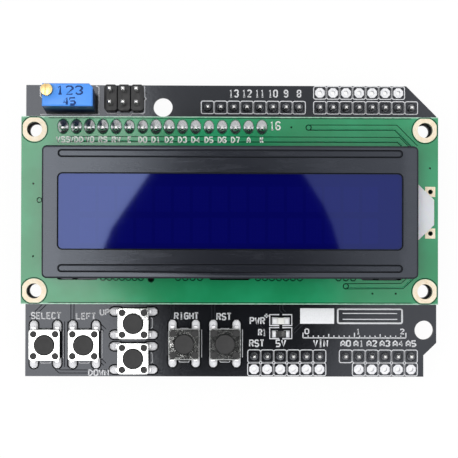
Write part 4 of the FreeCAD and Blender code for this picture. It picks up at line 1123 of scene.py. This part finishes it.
def make_pads():
    """Spare plated holes, corner rings and the backlight's square pads."""
    holes = [circle(SPARE_HOLE, spot, HOLE_SIDES) for spot in SPARE_HOLES]
    barrels = [(circle(SPARE_BARREL, spot, HOLE_SIDES), hole) for spot, hole in zip(SPARE_HOLES, holes)]
    ring_pads("spare_barrels", barrels, carrier.bottom, pad_tin, carrier.top - carrier.bottom)
    spare = [(circle(SPARE_PAD, spot, 8), hole) for spot, hole in zip(SPARE_HOLES, holes)]
    for name, level, downwards in (("upper", carrier.top, False), ("lower", carrier.bottom, True)):
        ring_pads(f"spare_pads_{name}", spare, level, pad_tin, downwards=downwards)
    half_x = display.width / 2 - CORNER_HOLE_INSET
    half_y = display.depth / 2 - CORNER_HOLE_INSET
    corners = [(display.x + x * half_x, display.y + y * half_y) for x in (-1, 1) for y in (-1, 1)]
    rings = []
    for spot in corners:
        outer = inside_display(circle(CORNER_PAD_RADIUS, spot, 56), CORNER_PAD_MARGIN)
        rings.append((outer, circle(CORNER_HOLE_RADIUS, spot, 40)))
    ring_pads("corner_rings", rings, display.top, pad_gold, CORNER_PAD_THICKNESS)
    ring_pads("corner_rings_below", rings, display.bottom, pad_gold, CORNER_PAD_THICKNESS, downwards=True)
    moats = []
    for spot in corners:
        moats.append((inside_display(circle(CORNER_PAD_RADIUS + MOAT_GAP, spot, 40), MOAT_MARGIN), True))
    draw_strokes("corner_moats", moats, display.top, 0.16, THIN_STROKE, green_gap)
    squares = []
    for y in BACKLIGHT_PADS:
        outer = rounded(BACKLIGHT_PAD_WIDTH, BACKLIGHT_PAD_WIDTH, 0.05, (BACKLIGHT_PAD_X, y), 2)
        squares.append((outer, circle(BACKLIGHT_HOLE, (BACKLIGHT_HOLE_X, y), HOLE_SIDES)))
    ring_pads("backlight_pads", squares, display.top, pad_gold, CORNER_PAD_THICKNESS)


CELL_BOX = 2.46
CELL_CORNER = 0.35
WORD_MARGIN = 0.08

# The words beside the lower pins, and the numbers beside the upper ones
PIN_WORDS_LOW = -22.4
PIN_WORDS_HIGH = -21.15
PIN_NUMBERS_LOW = 25.95
PIN_NUMBERS_HIGH = 27.45
FIRST_PIN_NUMBER = 13

# Words on the carrier: text, left, right, low, high
CARRIER_WORDS = [
    ("SELECT", -38.5, -32.7, -17.1, -15.9),
    ("LEFT", -29.8, -25.95, -17.15, -16.0),
    ("UP", -25.2, -23.3, -16.35, -15.25),
    ("DOWN", -27.4, -23.4, -28.05, -26.95),
    ("RIGHT", -10.8, -6.05, -17.1, -15.9),
    ("RST", -2.6, 0.3, -17.25, -16.0),
    ("PWR", 3.85, 6.8, -18.05, -16.8),
    ("R1", 5.5, 7.1, -20.25, -19.1),
    ("RST", 3.75, 6.7, PIN_WORDS_LOW, PIN_WORDS_HIGH),
    ("5V", 8.9, 10.9, PIN_WORDS_LOW, PIN_WORDS_HIGH),
    ("VIN", 16.2, 19.05, PIN_WORDS_LOW, PIN_WORDS_HIGH),
]
PLUS_SIGN = [line((7.1, -16.05), (7.1, -16.85)), line((6.7, -16.45), (7.5, -16.45))]

# Outlines of the trimmer and of the upright header
PART_OUTLINES = [
    line((-36.0, 25.3), (-36.85, 26.1), (-36.85, 28.0)),
    line((-36.85, 22.5), (-25.5, 22.5), (-25.5, 27.8), (-26.1, 28.05)),
    line((-16.7, 28.0), (-16.65, 25.9), (-16.35, 25.6), (-16.65, 25.3), (-16.65, 23.0), (-16.95, 22.72)),
    line((-16.95, 22.72), (-19.0, 22.72), (-19.3, 22.4), (-21.6, 22.4), (-21.9, 22.72), (-24.1, 22.72)),
]

# Brackets round the lamp and the resistor: low and high edge, then open and closed side
LAMP_ROWS = [(-18.33, -16.22), (-20.88, -18.74)]
LAMP_SIDES = [(9.58, 7.74), (10.2, 12.03)]

# Words and edge lines of the display board
DISPLAY_WORDS = ["VSS", "VDD", "V0", "RS", "RW", "E", "D0", "D1", "D2", "D3", "D4", "D5", "D6", "D7", "A", "K"]
DISPLAY_WORD_LOW = 16.8
DISPLAY_WORD_HIGH = 18.0
DISPLAY_LETTER = 0.68
BOARD_EDGE_LINE = 0.3
BOARD_CORNER = 5.2


def make_carrier_print():
    """White print on the carrier: cell boxes, words, pin numbers and outlines of parts."""
    cells = SPARE_HOLES + [spot for row in PLUG_ROWS for spot in pins_of(f"{row}_pins")]
    print_carrier("cell_boxes", [box_path(spot, CELL_BOX, CELL_BOX, CELL_CORNER) for spot in cells], 0.19)
    words = []
    for text, left, right, low, high in CARRIER_WORDS:
        words += letter_paths(text, left, right, low - WORD_MARGIN, high + WORD_MARGIN)
    for number, (x, _) in enumerate(lower_right):
        words += letter_paths(f"A{number}", x - 1.0, x + 1.0, PIN_WORDS_LOW, PIN_WORDS_HIGH)
    print_carrier("carrier_words", words + PLUS_SIGN, 0.31)
    numbers = []
    for column, (x, _) in enumerate(pins_of("upper_left_pins")[2:]):
        label = str(FIRST_PIN_NUMBER - column)
        half = 0.95 if len(label) > 1 else 0.42
        numbers += letter_paths(label, x - half, x + half, PIN_NUMBERS_LOW, PIN_NUMBERS_HIGH)
    print_carrier("pin_numbers", numbers, 0.29)
    print_carrier("part_outlines", PART_OUTLINES, 0.24)
    brackets = []
    for low, high in LAMP_ROWS:
        for near, far in LAMP_SIDES:
            brackets.append(line((near, high), (far, high), (far, low), (near, low)))
    print_carrier("lamp_brackets", brackets, 0.26)


NOTE_Y = -16.48
NOTE_FIELD_X = 16.95
NOTE_FIELD_SIZE = (6.6, 3.0)
NOTE_BOX_X = 27.2
NOTE_BOX_SIZE = (12.5, 2.75)
NOTE_RULES = [line((21.9, -17.1), (32.5, -17.1)), line((21.9, -15.95), (32.5, -15.95))]
SCALE_START = 14.2
SCALE_Y = -20.7
SCALE_LENGTH = 20
SCALE_DIGIT_SHIFT = 0.75
SCALE_DIGIT_HALF = 0.45


def make_label_field():
    """A solid white field and a ruled box for notes, with a plain centimetre scale below."""
    form = Form()
    outline = rounded(*NOTE_FIELD_SIZE, 0.08, (NOTE_FIELD_X, NOTE_Y), 2)
    form.solid([form.loop(outline, carrier.top), form.loop(outline, carrier.top + INK)])
    add_piece("note_field", form.mesh("note_field"), white_ink)
    print_carrier("note_box", [box_path((NOTE_BOX_X, NOTE_Y), *NOTE_BOX_SIZE, 0.3)], 0.36)
    print_carrier("note_rules", NOTE_RULES, 0.2)
    scale = [line((SCALE_START, SCALE_Y), (SCALE_START + SCALE_LENGTH, SCALE_Y))]
    for millimetre in range(SCALE_LENGTH + 1):
        length = 1.0 if millimetre % 10 == 0 else 0.75 if millimetre % 5 == 0 else 0.45
        x = SCALE_START + millimetre
        scale.append(line((x, SCALE_Y), (x, SCALE_Y + length)))
    print_carrier("scale_ticks", scale, 0.22)
    digits = []
    for centimetre in range(3):
        x = SCALE_START + 10 * centimetre + (SCALE_DIGIT_SHIFT if centimetre < 2 else -SCALE_DIGIT_SHIFT)
        digits += letter_paths(str(centimetre), x - SCALE_DIGIT_HALF, x + SCALE_DIGIT_HALF, -20.0, -18.9)
    print_carrier("scale_digits", digits, 0.26)


def make_display_print():
    """Pale words on the display board, and a dark line along its long edges."""
    words = []
    for text, (x, _) in zip(DISPLAY_WORDS, pins_of("display_pins")):
        half = DISPLAY_LETTER * (len(text) + LETTER_GAP * (len(text) - 1)) / 2
        words += letter_paths(text, x - half, x + half, DISPLAY_WORD_LOW, DISPLAY_WORD_HIGH)
    words += letter_paths("16", 7.5, 9.6, 19.3, 21.0)
    edges = []
    for y in (display.front + BOARD_EDGE_LINE, display.back - BOARD_EDGE_LINE):
        edges.append(line((display.left + BOARD_CORNER, y), (display.right - BOARD_CORNER, y)))
    draw_strokes("display_edge_gaps", edges, display.top, 0.14, THIN_STROKE, green_gap)
    draw_strokes("display_words", words, display.top, 0.3, 0.03, pale_ink)


GREEN_TRACES = [
    [(14.98, 19.82), (31.75, 19.85), (35.6, 16.0)],
    [(-31.0, 17.5), (32.3, 17.5), (34.1, 15.7)],
    [(22.18, -10.63), (33.0, -10.55), (35.2, -8.5)],
]
BLACK_TRACES = [
    [(-30.5, -14.1), (-30.5, -17.4)],
    [(-11.1, -14.1), (-11.1, -17.2)],
    [(-3.2, -14.1), (-3.2, -17.2)],
    [(10.0, -14.1), (10.0, -15.3), (10.6, -15.9)],
    [(-35.7, -14.1), (-38.6, -17.0)],
    [(-31.7, -17.6), (-31.7, -26.4)],
    [(-33.6, -26.7), (-32.9, -27.3), (-13.0, -27.3)],
    [(-9.6, -27.3), (-7.4, -25.4)],
    [(-24.2, -19.3), (-25.4, -18.1)],
    [(-24.2, -25.9), (-25.4, -24.7)],
    [(5.7, -18.5), (7.0, -19.9)],
    [(12.3, -19.6), (14.4, -17.5)],
    [(-17.8, 27.6), (-16.4, 26.3)],
]

# Small holes of the display board: a row below the bezel in runs of (first x, pitch, count), and lone ones
VIA_ROW = -9.1
VIA_RUNS = [(-24.37, 1.21, 7), (-10.01, 1.4, 4), (5.32, 1.34, 7), (20.77, 1.4, 3)]
LONE_VIAS = [(14.98, 19.82), (22.18, -10.63), (-15.18, -9.31)]
BOARD_DOTS = [(27.29, -12.03), (31.77, -12.03), (11.66, 19.87), (-37.77, 8.91), (-37.78, -5.0), (38.34, 12.08)]
BOARD_RING = (-36.6, 5.77)


def beside(path, distance):
    """A path at a distance to the left of another, with mitred corners."""
    shifted = []
    for index, here in enumerate(path):
        before = path[max(index - 1, 0)]
        after = path[min(index + 1, len(path) - 1)]
        sides = []
        for start, end in ((before, here), (here, after)):
            run = Vector((end[0] - start[0], end[1] - start[1]))
            if run.length > 0:
                run.normalize()
                sides.append(Vector((-run.y, run.x)))
        middle = sum(sides, Vector((0.0, 0.0))).normalized()
        reach = distance / max(middle.dot(sides[0]), 0.3)
        shifted.append((here[0] + middle.x * reach, here[1] + middle.y * reach))
    return shifted


def both_sides(paths, distance):
    """Two paths beside each of some others, one on either side."""
    return [(beside(path, side * distance), False) for path in paths for side in (-1, 1)]


def make_traces():
    """Copper runs under the solder resist, seen as two thin lines each: painted shade on the green board with a
    painted highlight beside it, painted highlights on the black one. Also the small holes.
    """
    # Dark lines on both sides of each green trace are painted shade, and the pale line beside them is a painted
    # highlight
    draw_strokes("green_trace_sides", both_sides(GREEN_TRACES, 0.5), display.top, 0.14, THIN_STROKE, green_gap)
    shines = [(beside(path, -0.3), False) for path in GREEN_TRACES]
    draw_strokes("green_trace_shines", shines, display.top, 0.2, THIN_STROKE, green_shine)
    # Grey lines on both sides of each black trace are painted highlights
    draw_strokes("black_trace_sides", both_sides(BLACK_TRACES, 0.3), carrier.top, 0.16, THIN_STROKE, trace_edge)
    vias = LONE_VIAS + [(first + pitch * n, VIA_ROW) for first, pitch, count in VIA_RUNS for n in range(count)]
    rings = [(circle(0.5, spot, 16), True) for spot in vias]
    draw_strokes("via_rings", rings, display.top, 0.2, 0.01, green_gap)
    marks = [(circle(0.11, spot, 8), True) for spot in BOARD_DOTS] + [(circle(0.45, BOARD_RING, 16), True)]
    draw_strokes("board_dots", marks, display.top, 0.16, 0.01, dark_gap)


def make_trimmer():
    """Blue trimmer body with softened edges, its screw and plain numbers."""
    soften("trimmer_body", 0.12, blue_plastic)
    soften("trimmer_screw", 0.08, brass, "trimmer_screw")
    flat = letter_paths("123", -32.9, -28.0, 25.35, 27.05) + letter_paths("45", -31.7, -29.3, 23.45, 24.85)
    slope = math.tan(TRIMMER_LEAN)
    leaning = [([(x, y, trimmer.top + (trimmer_ridge - y) * slope) for x, y in path], False) for path, _ in flat]
    lay_ribbons("trimmer_numbers", leaning, 0.46, 0.04, blue_ink)


def make_header_grooves():
    """Painted shade lines for the grooves between the cells of the upright header, with painted highlights on their
    lips.
    """
    place = Place("program_header")
    grooves, lips = [], []
    for column in (1, 2):
        x = place.left + PITCH * column
        grooves.append(line((x, place.front + 0.3), (x, place.back - 0.3)))
        lips.append(line((x - 0.2, place.front + 0.5), (x - 0.2, place.back - 0.5)))
    # Dark strokes are painted shade in the grooves, and pale strokes are painted highlights on their lips
    draw_strokes("header_grooves", grooves, place.top, 0.22, 0.01, dark_gap)
    draw_strokes("header_lips", lips, place.top, 0.1, 0.01, lip_highlight)


CHIP_SOLDER_WIDTH = 1.2
CHIP_SOLDER_DEPTH = 1.4
CHIP_SOLDER_REACH = 0.12

# Rings of the solder at a chip's end: inset and height
CHIP_SOLDER_PROFILE = [(0.0, 0.0), (0.03, 0.08), (0.2, 0.38), (0.36, 0.44)]


def make_lamp():
    """Power lamp and resistor with soldered ends."""
    soften("power_lamp", 0.06, lamp_base_white)
    soften("lamp_resistor", 0.03, resistor_black)
    form = Form()
    for node in ("power_lamp", "lamp_resistor"):
        place = Place(node)
        for x in (place.left - CHIP_SOLDER_REACH, place.right + CHIP_SOLDER_REACH):
            rings = []
            for inset, height in CHIP_SOLDER_PROFILE:
                width, depth = CHIP_SOLDER_WIDTH - 2 * inset, CHIP_SOLDER_DEPTH - 2 * inset
                rings.append(form.loop(rounded(width, depth, 0.1, (x, place.y), 3), carrier.top + height))
            form.solid(rings)
    add_piece("chip_solder", form.mesh("chip_solder"), pad_tin)


# Camera, as worked out from the photograph
CAMERA_PLACE = (-4.97, -4.52, 360.14)
CAMERA_TILT = (-0.8, 0.78, -0.15)
CAMERA_LENS = 141.78
CAMERA_SENSOR = 36.0
CARD_HEIGHT = 600.0
FLAG_DROP = 10.0
LEFT_LIGHT = 4.6
RIGHT_LIGHT = 1.9
FLAG_LIGHT = 0.04
SKY_LIGHT = 0.7
SKY_RISE = 0.45
FLOOR_HALF = 3.0

# Edge of the dark flag as the glass mirrors it, from the left foot over the top to the right foot
GLASS_EDGE = [(-23.7, -3.4), (-22.3, 0.2), (-18.6, 5.6), (-15.25, 10.5)]
LOWER_EDGE = [(-15.3, -29.0), (-15.3, -24.0), (-15.4, -19.0), (-18.5, -14.5), (-25.3, -9.0)]
FLAG_EDGE = LOWER_EDGE + GLASS_EDGE + [
    (-15.3, 14.0), (-12.0, 18.0), (-6.0, 21.0), (3.0, 21.0), (9.5, 16.0), (13.4, 10.6), (17.2, 4.8), (18.9, 1.0),
    (20.2, -3.3), (20.5, -14.0), (19.0, -22.0), (15.0, -28.0),
]
CARD_EDGE = [(-4.0, -60.0)] + LOWER_EDGE + GLASS_EDGE + [(-15.5, 13.5), (-15.0, 19.0), (-17.0, 27.0), (-22.0, 50.0)]
RIGHT_CARD = [
    (80.0, 50.0), (30.0, 50.0), (35.5, 18.0), (35.5, -4.5), (28.0, -12.0), (17.0, -21.0), (14.0, -60.0), (80.0, -60.0),
]
CARD_CORNERS = [(-100.0, 50.0), (-100.0, -60.0)]


def mirrored(spot):
    """Where the camera sees a point at the card's height, mirrored in the glass at a spot."""
    x, y = spot
    share = (CARD_HEIGHT - glass.top) / (CAMERA_PLACE[2] - glass.top)
    return (x + (x - CAMERA_PLACE[0]) * share, y + (y - CAMERA_PLACE[1]) * share)


def glow_finish(name, colour, strength):
    """An even lamp surface."""
    material = bpy.data.materials.new(name)
    material.use_nodes = True
    maker = Maker(material.node_tree)
    glow = maker.out("ShaderNodeEmission", 0, None, {"Color": (*colour, 1.0), "Strength": strength})
    output = material.node_tree.nodes["Material Output"]
    material.node_tree.links.new(glow.socket, output.inputs["Surface"])
    return material


def hang_card(name, outline, height, finish):
    """A flat card over the object that the camera doesn't see."""
    form = Form()
    form.cover(form.loop([mirrored(spot) for spot in outline], height))
    card = bpy.data.objects.new(name, form.mesh(name))
    bpy.context.scene.collection.objects.link(card)
    card.data.materials.append(finish)
    card.visible_camera = False


def set_stage():
    """Camera, floor, sky and the cards over the object."""
    scene = bpy.context.scene
    camera = bpy.data.objects.new("camera", bpy.data.cameras.new("camera"))
    scene.collection.objects.link(camera)
    tilt_x, tilt_y, tilt_z = (math.radians(angle) for angle in CAMERA_TILT)
    turn = Matrix.Rotation(tilt_z, 4, "Z") @ Matrix.Rotation(tilt_y, 4, "Y") @ Matrix.Rotation(tilt_x, 4, "X")
    camera.matrix_world = Matrix.Translation(Vector(CAMERA_PLACE) * MM) @ turn.transposed()
    camera.data.lens = CAMERA_LENS
    camera.data.sensor_width = CAMERA_SENSOR
    camera.data.clip_start = 0.01
    scene.camera = camera
    scene.view_settings.view_transform = "Standard"
    floor = bpy.data.meshes.new("floor")
    corners = [(x * FLOOR_HALF, y * FLOOR_HALF, 0.0) for x, y in ((-1, -1), (1, -1), (1, 1), (-1, 1))]
    floor.from_pydata(corners, [], [(0, 1, 2, 3)])
    ground = bpy.data.objects.new("floor", floor)
    scene.collection.objects.link(ground)
    floor.materials.append(floor_finish())
    card_light = glow_finish("card_light", (1.0, 0.99, 0.97), LEFT_LIGHT)
    hang_card("left_card", CARD_EDGE + CARD_CORNERS, CARD_HEIGHT, card_light)
    hang_card("right_card", RIGHT_CARD, CARD_HEIGHT, glow_finish("right_light", (1.0, 1.0, 1.0), RIGHT_LIGHT))
    hang_card("dark_flag", FLAG_EDGE, CARD_HEIGHT - FLAG_DROP, glow_finish("flag_dark", (1.0, 1.0, 1.0), FLAG_LIGHT))
    world = bpy.data.worlds.new("sky")
    scene.world = world
    world.use_nodes = True
    maker = Maker(world.node_tree)
    up = maker.split(maker.out("ShaderNodeTexCoord", "Generated"))[2]
    strength = SKY_LIGHT + maker.step(up, 0.6, 0.95) * SKY_RISE
    seen = maker.out("ShaderNodeLightPath", "Is Camera Ray")
    level = strength * (1.0 - seen) + seen
    background = world.node_tree.nodes["Background"]
    background.inputs["Color"].default_value = (1.0, 1.0, 1.0, 1.0)
    world.node_tree.links.new(level.socket, background.inputs["Strength"])


set_stage()
dress_nodes()
make_bezel()
make_buttons()
make_solder()
make_pads()
make_carrier_print()
make_label_field()
make_display_print()
make_traces()
make_trimmer()
make_lamp()
soften("backlight", 0.1, milky_guide)
soften("program_header", 0.06, header_black)
make_header_grooves()
